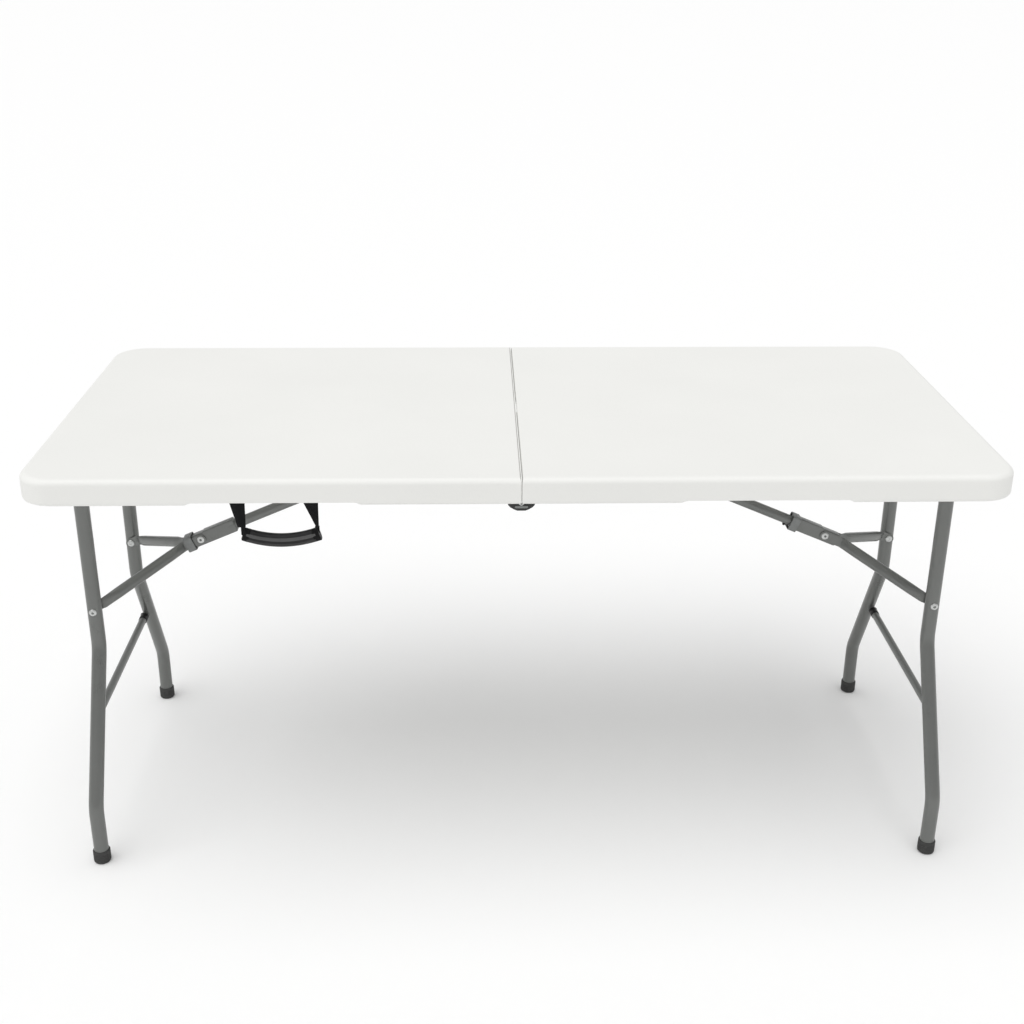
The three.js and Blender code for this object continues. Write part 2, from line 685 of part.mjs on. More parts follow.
// Each half is built outward along +X. The left one is the same half turned half round.
function addHalf(side) {
  const half = new THREE.Group();
  half.rotation.z = side === 'left' ? Math.PI : 0;
  whole.add(half);
  const frontSign = side === 'left' ? 1 : -1;
  const ends = [['front', frontSign], ['rear', -frontSign]];
  place(half, `${side}_top_panel`, topPanel(), whitePlastic);
  place(half, `${side}_link_clevis`, linkClevis(), darkSteel);
  place(half, `${side}_clevis_pin`, clevisPin(), zinc);
  for (const [end, sign] of ends) {
    place(half, `${side}_rail_${end}`, railTube(sign), greyPaint);
    place(half, `${side}_leg_bearing_${end}`, legBearing(sign), blackPlastic);
    place(half, `${side}_hinge_leaf_${end}`, hingeLeaf(side, sign), darkSteel);
    place(half, `${side}_leg_tube_${end}`, legTube(sign), greyPaint);
    place(half, `${side}_foot_${end}`, footCap(sign), rubber);
    place(half, `${side}_leg_rivet_${end}`, legRivetPin(sign), zinc);
  }
  place(half, `${side}_pivot_tube`, pivotCrossTube(), greyPaint);
  place(half, `${side}_crossbar`, crossbarTube(), greyPaint);

  const linkGroup = new THREE.Group();
  linkGroup.position.set(seat.x, 0, seat.y);
  linkGroup.rotation.y = slope;
  half.add(linkGroup);
  const ringAt = side === 'left' ? ring.lockedAt : ring.openAt;
  place(linkGroup, `${side}_link`, link(), greyPaint);
  place(linkGroup, `${side}_knee_rivet`, kneeRivet(), zinc);
  place(linkGroup, `${side}_ring_stop`, ringStop(), blackPlastic);
  place(linkGroup, `${side}_lock_ring`, lockRing(ringAt), zinc);

  const braceGroup = new THREE.Group();
  braceGroup.position.set(linkReach, 0, 0);
  linkGroup.add(braceGroup);
  for (const [end, sign] of ends) {
    place(braceGroup, `${side}_strut_${end}`, strut(sign), greyPaint);
    place(braceGroup, `${side}_strut_rivet_${end}`, strutRivetPin(sign), zinc);
  }
}

addHalf('left');
addHalf('right');
place(whole, 'hinge_pin_front', hingePin(-1), zinc);
place(whole, 'hinge_pin_rear', hingePin(1), zinc);

for (const [end, sign] of [['left', -1], ['right', 1]]) {
  const x = -handle.centre + (sign * handle.span) / 2;
  place(whole, `handle_anchor_${end}`, handleAnchor(x), blackPlastic);
  place(whole, `handle_strap_${end}`, handleStrap(x), webbing);
}
place(whole, 'handle_grip', handleGrip(), blackPlastic);

export default whole;
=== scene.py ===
"""Fold-in-half utility table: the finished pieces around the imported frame."""

import json
import math

import bmesh
import bpy
from mathutils import Matrix, Vector


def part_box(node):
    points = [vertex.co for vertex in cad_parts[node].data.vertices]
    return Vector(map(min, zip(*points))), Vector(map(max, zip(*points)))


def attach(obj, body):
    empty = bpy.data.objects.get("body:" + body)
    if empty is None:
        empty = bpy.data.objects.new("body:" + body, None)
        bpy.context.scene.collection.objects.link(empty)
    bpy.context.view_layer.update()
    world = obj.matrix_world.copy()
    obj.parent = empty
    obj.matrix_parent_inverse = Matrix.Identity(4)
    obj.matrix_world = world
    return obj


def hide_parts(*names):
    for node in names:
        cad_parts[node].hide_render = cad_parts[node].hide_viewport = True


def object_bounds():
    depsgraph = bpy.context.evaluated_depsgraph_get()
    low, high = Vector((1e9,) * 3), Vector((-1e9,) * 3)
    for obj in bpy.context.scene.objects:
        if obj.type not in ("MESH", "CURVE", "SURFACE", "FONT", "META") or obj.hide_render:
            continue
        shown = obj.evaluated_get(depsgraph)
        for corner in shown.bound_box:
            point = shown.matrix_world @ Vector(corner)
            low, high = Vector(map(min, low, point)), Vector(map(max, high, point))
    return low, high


bl_info = {
    "name": "Fold-in-half table",
    "version": (1, 0, 0),
    "blender": (4, 5, 0),
    "location": "View3D > Sidebar > Table",
    "description": "Makes the tops, legs, braces, rings, hinges and handle of a folding table",
    "category": "Object",
}

MM = 0.001
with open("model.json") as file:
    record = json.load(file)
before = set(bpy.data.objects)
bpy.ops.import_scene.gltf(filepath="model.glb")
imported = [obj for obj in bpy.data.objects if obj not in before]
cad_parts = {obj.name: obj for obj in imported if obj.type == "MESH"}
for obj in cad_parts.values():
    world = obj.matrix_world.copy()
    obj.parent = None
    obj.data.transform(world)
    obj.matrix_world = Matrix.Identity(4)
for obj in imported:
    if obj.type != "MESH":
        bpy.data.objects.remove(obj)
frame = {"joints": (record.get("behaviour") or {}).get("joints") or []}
cad_low, cad_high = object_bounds()

X = Vector((1, 0, 0))
Y = Vector((0, 1, 0))
Z = Vector((0, 0, 1))
SIDES = ("left", "right")
ENDS = ("front", "rear")


# ---------- Places read from the frame, in millimetres ----------

joints = {joint["name"]: joint for joint in frame["joints"]}


def joint_point(name):
    return Vector(joints[name]["pos_m"]) / MM


def node_box(name):
    low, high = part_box(name)
    return low / MM, high / MM


def node_middle(name):
    low, high = node_box(name)
    return (low + high) / 2


TOP = cad_high.z / MM
HALF_WIDTH = cad_high.y / MM
HALF_LENGTH = cad_high.x / MM
PANEL_LOW, PANEL_HIGH = node_box("right_top_panel")
RIM = PANEL_LOW.z
LEG_LOW, LEG_HIGH = node_box("right_leg_tube_rear")
TUBE = (LEG_HIGH.x - LEG_LOW.x) / 2
LEG_X = (LEG_HIGH.x + LEG_LOW.x) / 2
LEG_TOP_SPAN = LEG_LOW.y + TUBE
LEG_FOOT_SPAN = LEG_HIGH.y - TUBE
PIVOT = joint_point("right_leg_fold")
SEAT = joint_point("right_link_swing")
KNEE = joint_point("right_brace_swing")
LEG_RIVET = node_middle("right_leg_rivet_rear")
SLOPE = math.atan2(SEAT.z - KNEE.z, KNEE.x - SEAT.x)
LINK_REACH = (KNEE - SEAT).length
STRUT_REACH = math.hypot(LEG_RIVET.x - KNEE.x, LEG_RIVET.z - KNEE.z)
STRUT_LOW, STRUT_HIGH = node_box("right_strut_rear")
RAIL_LOW, RAIL_HIGH = node_box("right_rail_rear")
HANDLE = joint_point("handle_swing")
FOLD = joint_point("centre_fold")


def half_turn(side):
    """A half is built outward along +X. The left one is the same, turned half round."""
    return Matrix.Rotation(math.pi if side == "left" else 0, 4, "Z")


def front_sign(side):
    """Which way the front lies, across a half as it is built."""
    return 1 if side == "left" else -1


def end_signs(side):
    return (("front", front_sign(side)), ("rear", -front_sign(side)))


LINK_FRAME = Matrix.Translation(SEAT) @ Matrix.Rotation(SLOPE, 4, "Y")
KNEE_FRAME = Matrix.Translation(KNEE) @ Matrix.Rotation(SLOPE, 4, "Y")


# ---------- Settings that a user would change ----------

def colour(name, text, default):
    return bpy.props.FloatVectorProperty(
        name=name, description=text, subtype="COLOR", size=3, min=0, max=1, default=default)


def length(name, text, default):
    return bpy.props.FloatProperty(
        name=name, description=text, default=default, min=0, unit="LENGTH", subtype="DISTANCE")


class TableFinish(bpy.types.PropertyGroup):
    top: colour("Top", "Moulded half tops", (0.83, 0.83, 0.805))
    frame: colour("Frame", "Powder coat of legs, braces and rails", (0.17, 0.175, 0.168))
    plate: colour("Plate", "Painted hinge and clevis plate", (0.02, 0.021, 0.02))
    zinc: colour("Zinc", "Rivets, pins and screws", (0.56, 0.57, 0.56))
    ring: colour("Ring", "Satin plating of the lock rings and hinge bosses", (0.2, 0.207, 0.203))
    rubber: colour("Rubber", "Foot caps", (0.035, 0.035, 0.034))
    black: colour("Black", "Moulded blocks and handle grip", (0.009, 0.009, 0.0095))
    # The grip's upper ridge grey is a painted highlight: light that the black plastic ridge reflects,
    # painted into its colour
    ridge: bpy.props.FloatProperty(
        name="Ridge", description="Grey of the grip's upper ridge", default=0.075, min=0, max=1)
    webbing: colour("Webbing", "Handle straps", (0.006, 0.006, 0.0065))
    grain: length("Grain", "Height of the pebble grain of the tops", 0.0004)
    peel: length("Peel", "Height of the powder coat's orange peel", 0.00012)


class TableShape(bpy.types.PropertyGroup):
    corner: length("Corner", "Plan radius of the top's outer corners", 0.052)
    top_edge: length("Top edge", "Round along the upper edge", 0.009)
    rim_edge: length("Rim edge", "Round along the rim", 0.005)
    seam_edge: length("Seam edge", "Round along the seam", 0.0024)
    plate: length("Plate", "Thickness of the flat of a half top", 0.011)
    leg_bend: length("Leg bend", "Bend radius of a leg on its axis", 0.062)
    splay_top: length("Splay top", "Height where a leg begins to splay", 0.350)
    splay_end: length("Splay end", "Height where a leg turns upright again", 0.106)
    tube_sides: bpy.props.IntProperty(
        name="Tube sides", description="Facets round a tube", default=36, min=12, max=96)


def finish():
    return bpy.context.scene.table_finish


def shape():
    return bpy.context.scene.table_shape


# ---------- Shader helpers ----------

class Value:
    """A shader value. Arithmetic on it adds Math nodes."""

    def __init__(self, surface, socket):
        self.surface = surface
        self.socket = socket

    def _math(self, operation, *terms):
        return self.surface.node("ShaderNodeMath", {"operation": operation}, *terms)

    def __add__(self, other):
        return self._math("ADD", self, other)

    def __mul__(self, other):
        return self._math("MULTIPLY", self, other)

    __radd__ = __add__
    __rmul__ = __mul__

    def sine(self):
        return self._math("SINE", self)

    def limited(self):
        return self._math("MINIMUM", self._math("MAXIMUM", self, 0.0), 1.0)


class Surface:
    """A material with a Principled shader, built node by node."""

    def __init__(self, name, base, roughness, metallic=0.0, **constants):
        self.material = bpy.data.materials.new(name)
        self.material.use_nodes = True
        self.tree = self.material.node_tree
        self.shader = self.tree.nodes["Principled BSDF"]
        self.base = (*base, 1.0)
        self.set("Base Color", self.base)
        self.set("Roughness", roughness)
        self.set("Metallic", metallic)
        for socket, value in constants.items():
            self.set(socket.replace("_", " "), value)

    def set(self, socket, value):
        self._feed(self.shader.inputs[socket], value)

    def _feed(self, socket, value):
        if isinstance(value, Value):
            self.tree.links.new(value.socket, socket)
        else:
            socket.default_value = value

    def node(self, kind, settings, *values, output=0, **named):
        made = self.tree.nodes.new(kind)
        for key, setting in settings.items():
            setattr(made, key, setting)
        for socket, value in zip(made.inputs, values):
            self._feed(socket, value)
        for key, value in named.items():
            self._feed(made.inputs[key.replace("_", " ")], value)
        return Value(self, made.outputs[output])

    def place(self, axis=None):
        """Where a point is on its own object, or one of its coordinates."""
        spot = self.node("ShaderNodeTexCoord", {}, output=3)
        if axis is None:
            return spot
        return self.node("ShaderNodeSeparateXYZ", {}, spot, output="XYZ".index(axis))

    def stretched(self, x, y, z):
        return self.node("ShaderNodeMapping", {}, self.place(), Scale=(x, y, z))

    def noise(self, scale, detail=2.0, spot=None, **named):
        return self.node("ShaderNodeTexNoise", {}, Vector=spot or self.place(),
                         Scale=scale, Detail=detail, **named)

    def cells(self, scale):
        return self.node("ShaderNodeTexVoronoi", {"feature": "SMOOTH_F1"},
                         Vector=self.place(), Scale=scale)

    def tint(self, factor, low, high):
        """The base colour, darkened to low and lightened to high times itself.
        A Mix node's inputs 6 and 7 and its output 2 are its colours."""
        dark = (*(c * low for c in self.base[:3]), 1.0)
        light = (*(min(c * high, 1.0) for c in self.base[:3]), 1.0)
        mix = self.tree.nodes.new("ShaderNodeMix")
        mix.data_type = "RGBA"
        self._feed(mix.inputs[0], factor)
        mix.inputs[6].default_value = dark
        mix.inputs[7].default_value = light
        self.set("Base Color", Value(self, mix.outputs[2]))

    def bump(self, height, distance, strength=1.0):
        self.set("Normal", self.node("ShaderNodeBump", {}, Height=height,
                                     Distance=distance, Strength=strength))


def moulded_top():
    """Off-white polyethylene with a fine pebble grain and faint mottling."""
    s = Surface("moulded_white", finish().top, 0.5, IOR=1.5)
    pebbles = s.cells(360.0)
    specks = s.noise(900.0, 3.0)
    clouds = s.noise(5.0, 4.0)
    s.tint((clouds * 0.7 + specks * 0.3).limited(), 0.965, 1.03)
    s.set("Roughness", 0.4 + 0.14 * pebbles + 0.1 * clouds)
    s.bump(pebbles * 0.7 + specks * 0.3, finish().grain, 0.55)
    return s.material


def powder_coat():
    """Grey powder coat: fine orange peel, slightly uneven gloss."""
    s = Surface("powder_grey", finish().frame, 0.3, 0.5, IOR=1.5)
    peel = s.noise(520.0, 2.0)
    flecks = s.noise(2600.0, 1.0)
    wear = s.noise(14.0, 5.0)
    s.tint((wear * 0.6 + flecks * 0.4).limited(), 0.84, 1.16)
    s.set("Roughness", 0.2 + 0.14 * wear + 0.06 * flecks)
    s.bump(peel * 0.8 + flecks * 0.2, finish().peel, 0.6)
    return s.material


def painted_plate():
    s = Surface("plate_black", finish().plate, 0.42, 0.2)
    peel = s.noise(620.0, 2.0)
    wear = s.noise(60.0, 5.0)
    s.tint(wear, 0.7, 1.5)
    s.set("Roughness", 0.34 + 0.24 * wear)
    s.bump(peel, finish().peel, 0.5)
    return s.material


def zinc_plate():
    """Bright zinc with fine drawn lines and duller patches."""
    s = Surface("zinc_bright", finish().zinc, 0.3, 1.0)
    lines = s.noise(180.0, 3.0, s.stretched(1.0, 1.0, 14.0))
    patches = s.noise(240.0, 3.0)
    s.tint((lines * 0.5 + patches * 0.5).limited(), 0.78, 1.25)
    s.set("Roughness", 0.2 + 0.26 * patches)
    s.bump(lines, 0.00004, 0.5)
    return s.material


def satin_plate():
    """Satin plating, a little darker on worn faces, for the lock rings and hinge bosses."""
    s = Surface("ring_satin", finish().ring, 0.4, 0.55)
    brushed = s.noise(240.0, 3.0, s.stretched(1.0, 12.0, 1.0))
    worn = s.noise(110.0, 4.0)
    s.tint((brushed * 0.4 + worn * 0.6).limited(), 0.8, 1.25)
    s.set("Roughness", 0.3 + 0.22 * worn)
    s.bump(brushed, 0.00004, 0.5)
    return s.material


def foot_rubber():
    s = Surface("rubber_black", finish().rubber, 0.75)
    grit = s.noise(800.0, 4.0)
    scuffs = s.noise(70.0, 5.0)
    s.tint(scuffs, 0.75, 1.7)
    s.set("Roughness", 0.62 + 0.25 * scuffs)
    s.bump(grit, 0.00015, 0.6)
    return s.material


def moulded_black():
    s = Surface("moulded_black", finish().black, 0.45, Specular_IOR_Level=0.3)
    grain = s.cells(900.0)
    dust = s.noise(45.0, 4.0)
    s.tint(dust, 0.8, 1.8)
    s.set("Roughness", 0.36 + 0.2 * dust)
    s.bump(grain, 0.00008, 0.6)
    return s.material


def ridge_painted_highlight(name, share):
    """A grip ridge painted a share of white: a painted highlight for the light that the black grip
    plastic reflects.
    """
    s = Surface(name, (share, share, share), 0.55, Specular_IOR_Level=0.35)
    grain = s.cells(1100.0)
    dust = s.noise(60.0, 4.0)
    s.tint(dust, 0.8, 1.4)
    s.set("Roughness", 0.46 + 0.16 * dust)
    s.bump(grain, 0.00008, 0.7)
    return s.material


# The upper ridge: a painted highlight, grey where the black plastic reflects light
def grip_ridge():
    return ridge_painted_highlight("grip_painted_highlight", finish().ridge)


# The lower ridge: the same painted highlight, dimmer, as a shaded copy
def grip_dim_highlight_ridge():
    return ridge_painted_highlight("grip_dim_painted_highlight", finish().ridge * 0.45)


def woven_webbing():
    """Black polypropylene webbing: ribs across the strap, yarns along it."""
    s = Surface("webbing_black", finish().webbing, 0.8, Specular_IOR_Level=0.15,
                Sheen_Weight=0.04)
    rib = (s.place("Z") * (2 * math.pi / 0.0017)).sine()
    yarn = (s.place("X") * (2 * math.pi / 0.0013)).sine()
    weave = rib * yarn * 0.5 + 0.5
    fuzz = s.noise(1500.0, 3.0)
    s.tint((weave * 0.7 + fuzz * 0.3).limited(), 0.5, 2.2)
    s.set("Roughness", 0.68 + 0.2 * fuzz)
    s.bump(weave * 0.8 + fuzz * 0.2, 0.00035, 0.8)
    return s.material


MAKERS = {
    "white_plastic": moulded_top,
    "grey_paint": powder_coat,
    "dark_steel": painted_plate,
    "zinc": zinc_plate,
    "satin": satin_plate,
    "foot_rubber": foot_rubber,
    "black_plastic": moulded_black,
    # The two grip ridge surfaces are painted highlights, the lower one dimmer
    "grip": grip_ridge,
    "grip_dim_painted_highlight": grip_dim_highlight_ridge,
    "webbing": woven_webbing,
}
made_materials = {}


def material(key):
    if key not in made_materials:
        made_materials[key] = MAKERS[key]()
    return made_materials[key]


# ---------- Mesh helpers: everything is built in millimetres ----------

def edges_within(verts):
    chosen = set(verts)
    return list({e for v in chosen for e in v.link_edges if e.other_vert(v) in chosen})


def connected(verts):
    """The vertices and all that their edges lead to."""
    every = set(verts)
    pending = list(every)
    while pending:
        found = {v for e in pending.pop().link_edges for v in e.verts} - every
        every |= found
        pending += found
    return list(every)


def station(place, way, up, across, tall=None):
    """A section's frame: up is square to the path, across and tall are half sizes."""
    z = way.normalized()
    y = (up - z * up.dot(z)).normalized()
    x = y.cross(z)
    tall = across if tall is None else tall
    made = Matrix((x * across, y * tall, z)).transposed().to_4x4()
    made.translation = place
    return made


def sweep(bm, stations, sides=None):
    """Carries a round section from station to station."""
    sides = sides or shape().tube_sides
    made = bmesh.ops.create_circle(bm, cap_ends=True, segments=sides, radius=1,
                                   matrix=stations[0])
    edges = edges_within(made["verts"])
    for before, after in zip(stations, stations[1:]):
        grown = bmesh.ops.extrude_edge_only(bm, edges=edges)["geom"]
        verts = [g for g in grown if isinstance(g, bmesh.types.BMVert)]
        edges = edges_within(verts)
        bmesh.ops.transform(bm, matrix=after @ before.inverted(), verts=verts)
    bmesh.ops.contextual_create(bm, geom=edges)


def bent_stations(points, up, half, bend, steps=10):
    """Straight runs with round bends between them, for a plain round tube."""
    points = [Vector(p) for p in points]
    made = [station(points[0], points[1] - points[0], up, half)]
    for before, here, after in zip(points, points[1:], points[2:]):
        way_in = (here - before).normalized()
        way_out = (after - here).normalized()
        turn = way_in.angle(way_out)
        start = here - way_in * bend * math.tan(turn / 2)
        side = (way_out - way_in * way_out.dot(way_in)).normalized()
        for k in range(steps + 1):
            a = turn * k / steps
            spot = start + way_in * bend * math.sin(a) + side * bend * (1 - math.cos(a))
            made.append(station(spot, way_in * math.cos(a) + side * math.sin(a), up, half))
    made.append(station(points[-1], points[-1] - points[-2], up, half))
    return made


def eased(t):
    return t * t * (3 - 2 * t)


def between(a, b, t):
    return a + (b - a) * t


def lathe(bm, profile, steps=32, matrix=Matrix()):
    """Spins a profile of (radius, height) pairs about Z, then places it."""
    verts = [bm.verts.new((radius, 0, height)) for radius, height in profile]
    edges = [bm.edges.new(pair) for pair in zip(verts, verts[1:])]
    made = bmesh.ops.spin(bm, geom=verts + edges, cent=(0, 0, 0), axis=(0, 0, 1),
                          angle=2 * math.pi, steps=steps, use_merge=True)
    last = [v for v in made["geom_last"] if isinstance(v, bmesh.types.BMVert)]
    bmesh.ops.transform(bm, matrix=matrix, verts=connected(verts + last))


def block(bm, low, high, round_edges=0.0):
    """A box with rounded edges."""
    low, high = Vector(low), Vector(high)
    size = high - low
    place = Matrix.Translation((low + high) / 2) @ Matrix.Diagonal((*size, 1))
    verts = bmesh.ops.create_cube(bm, size=1, matrix=place)["verts"]
    if round_edges:
        bmesh.ops.bevel(bm, geom=edges_within(verts), offset=round_edges, affect="EDGES",
                        segments=3, profile=0.5, material=-1)


def slab(bm, outline, thickness, matrix, round_edges=0.0, segments=2):
    """A flat outline in X-Y, thickened along Z and placed by matrix."""
    verts = [bm.verts.new((x, y, 0)) for x, y in outline]
    face = bm.faces.new(verts)
    grown = bmesh.ops.extrude_face_region(bm, geom=[face])["geom"]
    top = [g for g in grown if isinstance(g, bmesh.types.BMVert)]
    bmesh.ops.translate(bm, verts=top, vec=(0, 0, thickness))
    if round_edges:
        rims = edges_within(verts) + edges_within(top)
        rims = [e for e in rims if abs(e.verts[0].co.z - e.verts[1].co.z) < thickness / 2]
        made = bmesh.ops.bevel(bm, geom=rims, offset=round_edges, affect="EDGES",
                               segments=segments, profile=0.5, material=-1)
        verts, top = made["verts"], []
    bmesh.ops.transform(bm, matrix=matrix, verts=connected(verts + top))


def arc(cx, cy, radius, start, stop, steps=8):
    """Points of an arc, in degrees."""
    angles = [math.radians(between(start, stop, i / steps)) for i in range(steps + 1)]
    return [(cx + radius * math.cos(a), cy + radius * math.sin(a)) for a in angles]


def rounded_rectangle(x0, x1, y0, y1, radius, steps=5):
    return (arc(x1 - radius, y1 - radius, radius, 0, 90, steps)
            + arc(x0 + radius, y1 - radius, radius, 90, 180, steps)
            + arc(x0 + radius, y0 + radius, radius, 180, 270, steps)
            + arc(x1 - radius, y0 + radius, radius, 270, 360, steps))


ALONG_Y = Matrix.Rotation(math.radians(90), 4, "X")  # X-Y outline to X-Z, thickness to -Y
ALONG_X = Matrix(((0, 0, 1, 0), (1, 0, 0, 0), (0, 1, 0, 0), (0, 0, 0, 1)))  # outline to Y-Z
LATHE_TO_Y = Matrix.Rotation(math.radians(-90), 4, "X")
LATHE_TO_X = Matrix.Rotation(math.radians(90), 4, "Y")


def temporary(bm):
    mesh = bpy.data.meshes.new("temporary")
    bm.to_mesh(mesh)
    made = bpy.data.objects.new("temporary", mesh)
    bpy.context.scene.collection.objects.link(made)
    return made


def carve(bm, tools, soften=0.0):
    """Cuts the tools out of bm, rounds the cut edges and gives the result as a new bmesh."""
    for made in (bm, *tools):
        bmesh.ops.recalc_face_normals(made, faces=made.faces)
    body = temporary(bm)
    cutters = [temporary(tool) for tool in tools]
    for cutter in cutters:
        cut = body.modifiers.new("cut", "BOOLEAN")
        cut.operation = "DIFFERENCE"
        cut.solver = "EXACT"
        cut.object = cutter
    if soften:
        ease = body.modifiers.new("ease", "BEVEL")
        ease.limit_method = "ANGLE"
        ease.angle_limit = math.radians(50)
        ease.width = soften
        ease.segments = 2
        ease.use_clamp_overlap = True
    ready = body.evaluated_get(bpy.context.evaluated_depsgraph_get())
    result = bmesh.new()
    result.from_mesh(ready.to_mesh())
    ready.to_mesh_clear()
    for used in [body, *cutters]:
        mesh = used.data
        bpy.data.objects.remove(used)
        bpy.data.meshes.remove(mesh)
    for made in [bm, *tools]:
        made.free()
    return result


def piece(bm, name, body, surface, nodes=(), matrix=Matrix(), sharp=38, tidy=True):
    """Turns a finished bmesh into an object on its body, in place of its CAD nodes."""
    if tidy:
        bmesh.ops.remove_doubles(bm, verts=bm.verts, dist=0.004)
        bmesh.ops.recalc_face_normals(bm, faces=bm.faces)
    bmesh.ops.transform(bm, matrix=Matrix.Scale(MM, 4) @ matrix, verts=bm.verts)
    mesh = bpy.data.meshes.new(name)
    bm.to_mesh(mesh)
    bm.free()
    mesh.shade_smooth()
    mesh.set_sharp_from_angle(angle=math.radians(sharp))
    mesh.materials.append(material(surface))
    made = bpy.data.objects.new(name, mesh)
    bpy.context.scene.collection.objects.link(made)
    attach(made, body)
    if nodes:
        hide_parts(*nodes)
    return made


# ---------- Half tops ----------

SIDE_RIM = 25.0
END_RIM = 22.0
RECESS_CORNER = 30.0
ARCH = (236.0, 512.0, 5.0, 16.0)  # start, stop, rise and blend of a finger arch
GROOVE = (-20.0, 662.0, 32.0, 7.5)  # start, stop, half width and depth, over the folded link
KNEE_POCKET = (515.0, 641.0, 70.0, 7.5)  # the same four, over the folded knee
HINGE_REACH = (66.0, 16.0)  # a hinge slot's length from the seam and its height
HINGE_SLOT = (333.0, 344.5)  # its two faces, from the middle of the table
HINGE_ARM = (62.0, 14.0)  # length from the seam and height above the rim
HINGE_DISC = (21.5, 13.0)  # half width at the rim and drop below it
PIN_DIMPLE = (8.0, 4.6, 5.5)  # mouth radius, floor radius and depth of a moulded dimple
DIMPLE_GRID = (12, 9)  # columns along a half, rows across it
DIMPLE_PITCH = (57.0, 66.0)
DIMPLE_FIRST = 68.0  # from the seam to the first column
DIMPLE_MARGIN = 13.0  # kept plain round the groove and the knee pocket


def panel_skin():
    """The outside of a half top, from the rim up, with its rounded edges."""
    s = shape()
    corner, top_edge, rim_edge = s.corner / MM, s.top_edge / MM, s.rim_edge / MM
    seam_share = s.seam_edge / s.top_edge
    x0, x1 = PANEL_LOW.x, PANEL_HIGH.x
    outline = (arc(x1 - corner, HALF_WIDTH - corner, corner, 0, 90, 18)
               + [(x0, HALF_WIDTH), (x0, -HALF_WIDTH)]
               + arc(x1 - corner, corner - HALF_WIDTH, corner, 270, 360, 18))
    levels = [(RIM, rim_edge * 1.5), (RIM, rim_edge)]
    for k in range(1, 6):
        a = math.radians(90 * k / 5)
        levels.append((RIM + rim_edge * (1 - math.cos(a)), rim_edge * (1 - math.sin(a))))
    levels.append((RIM + rim_edge + 1.5, 0.0))
    levels.append((TOP - top_edge - 1.5, 0.0))
    for k in range(0, 9):
        a = math.radians(90 * k / 8)
        levels.append((TOP - top_edge * (1 - math.sin(a)), top_edge * (1 - math.cos(a))))
    levels.append((TOP, top_edge + 2))

    def level_matrix(height, inset):
        near = x0 + inset * seam_share
        far = x1 - inset
        grow_x = (far - near) / (x1 - x0)
        grow_y = (HALF_WIDTH - inset) / HALF_WIDTH
        made = Matrix.Diagonal((grow_x, grow_y, 1, 1))
        made.translation = (near - x0 * grow_x, 0, height)
        return made

    bm = bmesh.new()
    verts = [bm.verts.new((x, y, 0)) for x, y in outline]
    bm.faces.new(verts)
    placed = level_matrix(*levels[0])
    bmesh.ops.transform(bm, matrix=placed, verts=verts)
    edges = edges_within(verts)
    for height, inset in levels[1:]:
        grown = bmesh.ops.extrude_edge_only(bm, edges=edges)["geom"]
        verts = [g for g in grown if isinstance(g, bmesh.types.BMVert)]
        edges = edges_within(verts)
        after = level_matrix(height, inset)
        bmesh.ops.transform(bm, matrix=after @ placed.inverted(), verts=verts)
        placed = after
    bmesh.ops.contextual_create(bm, geom=edges)
    return bm


def panel_cutters():
    """What is hollow under a half top: leg recess, link groove, finger arches, hinge slots
    and the rows of moulded dimples that tie the two skins together."""
    roof = TOP - shape().plate / MM
    recess = bmesh.new()
    wide = HALF_WIDTH - SIDE_RIM
    far = HALF_LENGTH - END_RIM
    corner = RECESS_CORNER
    slab(recess, arc(far - corner, wide - corner, corner, 0, 90, 10)
         + [(-20, wide), (-20, -wide)]
         + arc(far - corner, corner - wide, corner, 270, 360, 10), roof - RIM + 8,
         Matrix.Translation((0, 0, RIM - 8)))
    pockets = []
    for (start, stop, half, depth), ease in ((GROOVE, 3), (KNEE_POCKET, 2.5)):
        pockets.append(bmesh.new())
        block(pockets[-1], (start, -half, roof - 4), (stop, half, roof + depth), ease)
    arches = bmesh.new()
    start, stop, rise, blend = ARCH
    crown = [(start + blend * t, between(-1, rise, eased(t))) for t in (0, .2, .35, .5, .65, .8, 1)]
    mirrored = [(start + stop - x, y) for x, y in reversed(crown)]
    for y in (HALF_WIDTH + 3, -wide + 2):
        slab(arches, crown + mirrored, SIDE_RIM + 5,
             Matrix.Translation((0, y, RIM)) @ ALONG_Y)
    slots = bmesh.new()
    for sign in (-1, 1):
        y0, y1 = sorted((sign * HINGE_SLOT[0], sign * HINGE_SLOT[1]))
        block(slots, (-5, y0, RIM - 3), (HINGE_REACH[0], y1, RIM + HINGE_REACH[1]))
    wells = bmesh.new()
    well, deep = HINGE_DISC[0] + 1, HINGE_SLOT[1] - HINGE_SLOT[0]
    for sign in (-1, 1):
        near = min(sign * HINGE_SLOT[0], sign * HINGE_SLOT[1])
        lathe(wells, [(0, 0), (well, 0), (well, deep), (0, deep)], 40,
              Matrix.Translation((0, near, RIM)) @ LATHE_TO_Y)
    return [recess, *pockets, arches, slots, wells, dimples(roof)]


def dimples(roof):
    """The moulded dimples, in rows that leave the groove and the knee pocket plain."""
    bm = bmesh.new()
    mouth, floor, depth = PIN_DIMPLE
    columns, rows = DIMPLE_GRID
    start, stop, half = KNEE_POCKET[:3]
    for column in range(columns):
        for row in range(rows):
            x = DIMPLE_FIRST + column * DIMPLE_PITCH[0]
            y = (row - (rows - 1) / 2) * DIMPLE_PITCH[1]
            over_groove = abs(y) < GROOVE[2] + DIMPLE_MARGIN
            over_knee = (abs(y) < half + DIMPLE_MARGIN
                         and start - DIMPLE_MARGIN < x < stop + DIMPLE_MARGIN)
            if over_groove or over_knee:
                continue
            lathe(bm, [(0, -1), (mouth + 0.6, -1), (floor, depth), (0, depth)], 14,
                  Matrix.Translation((x, y, roof)))
    return bm


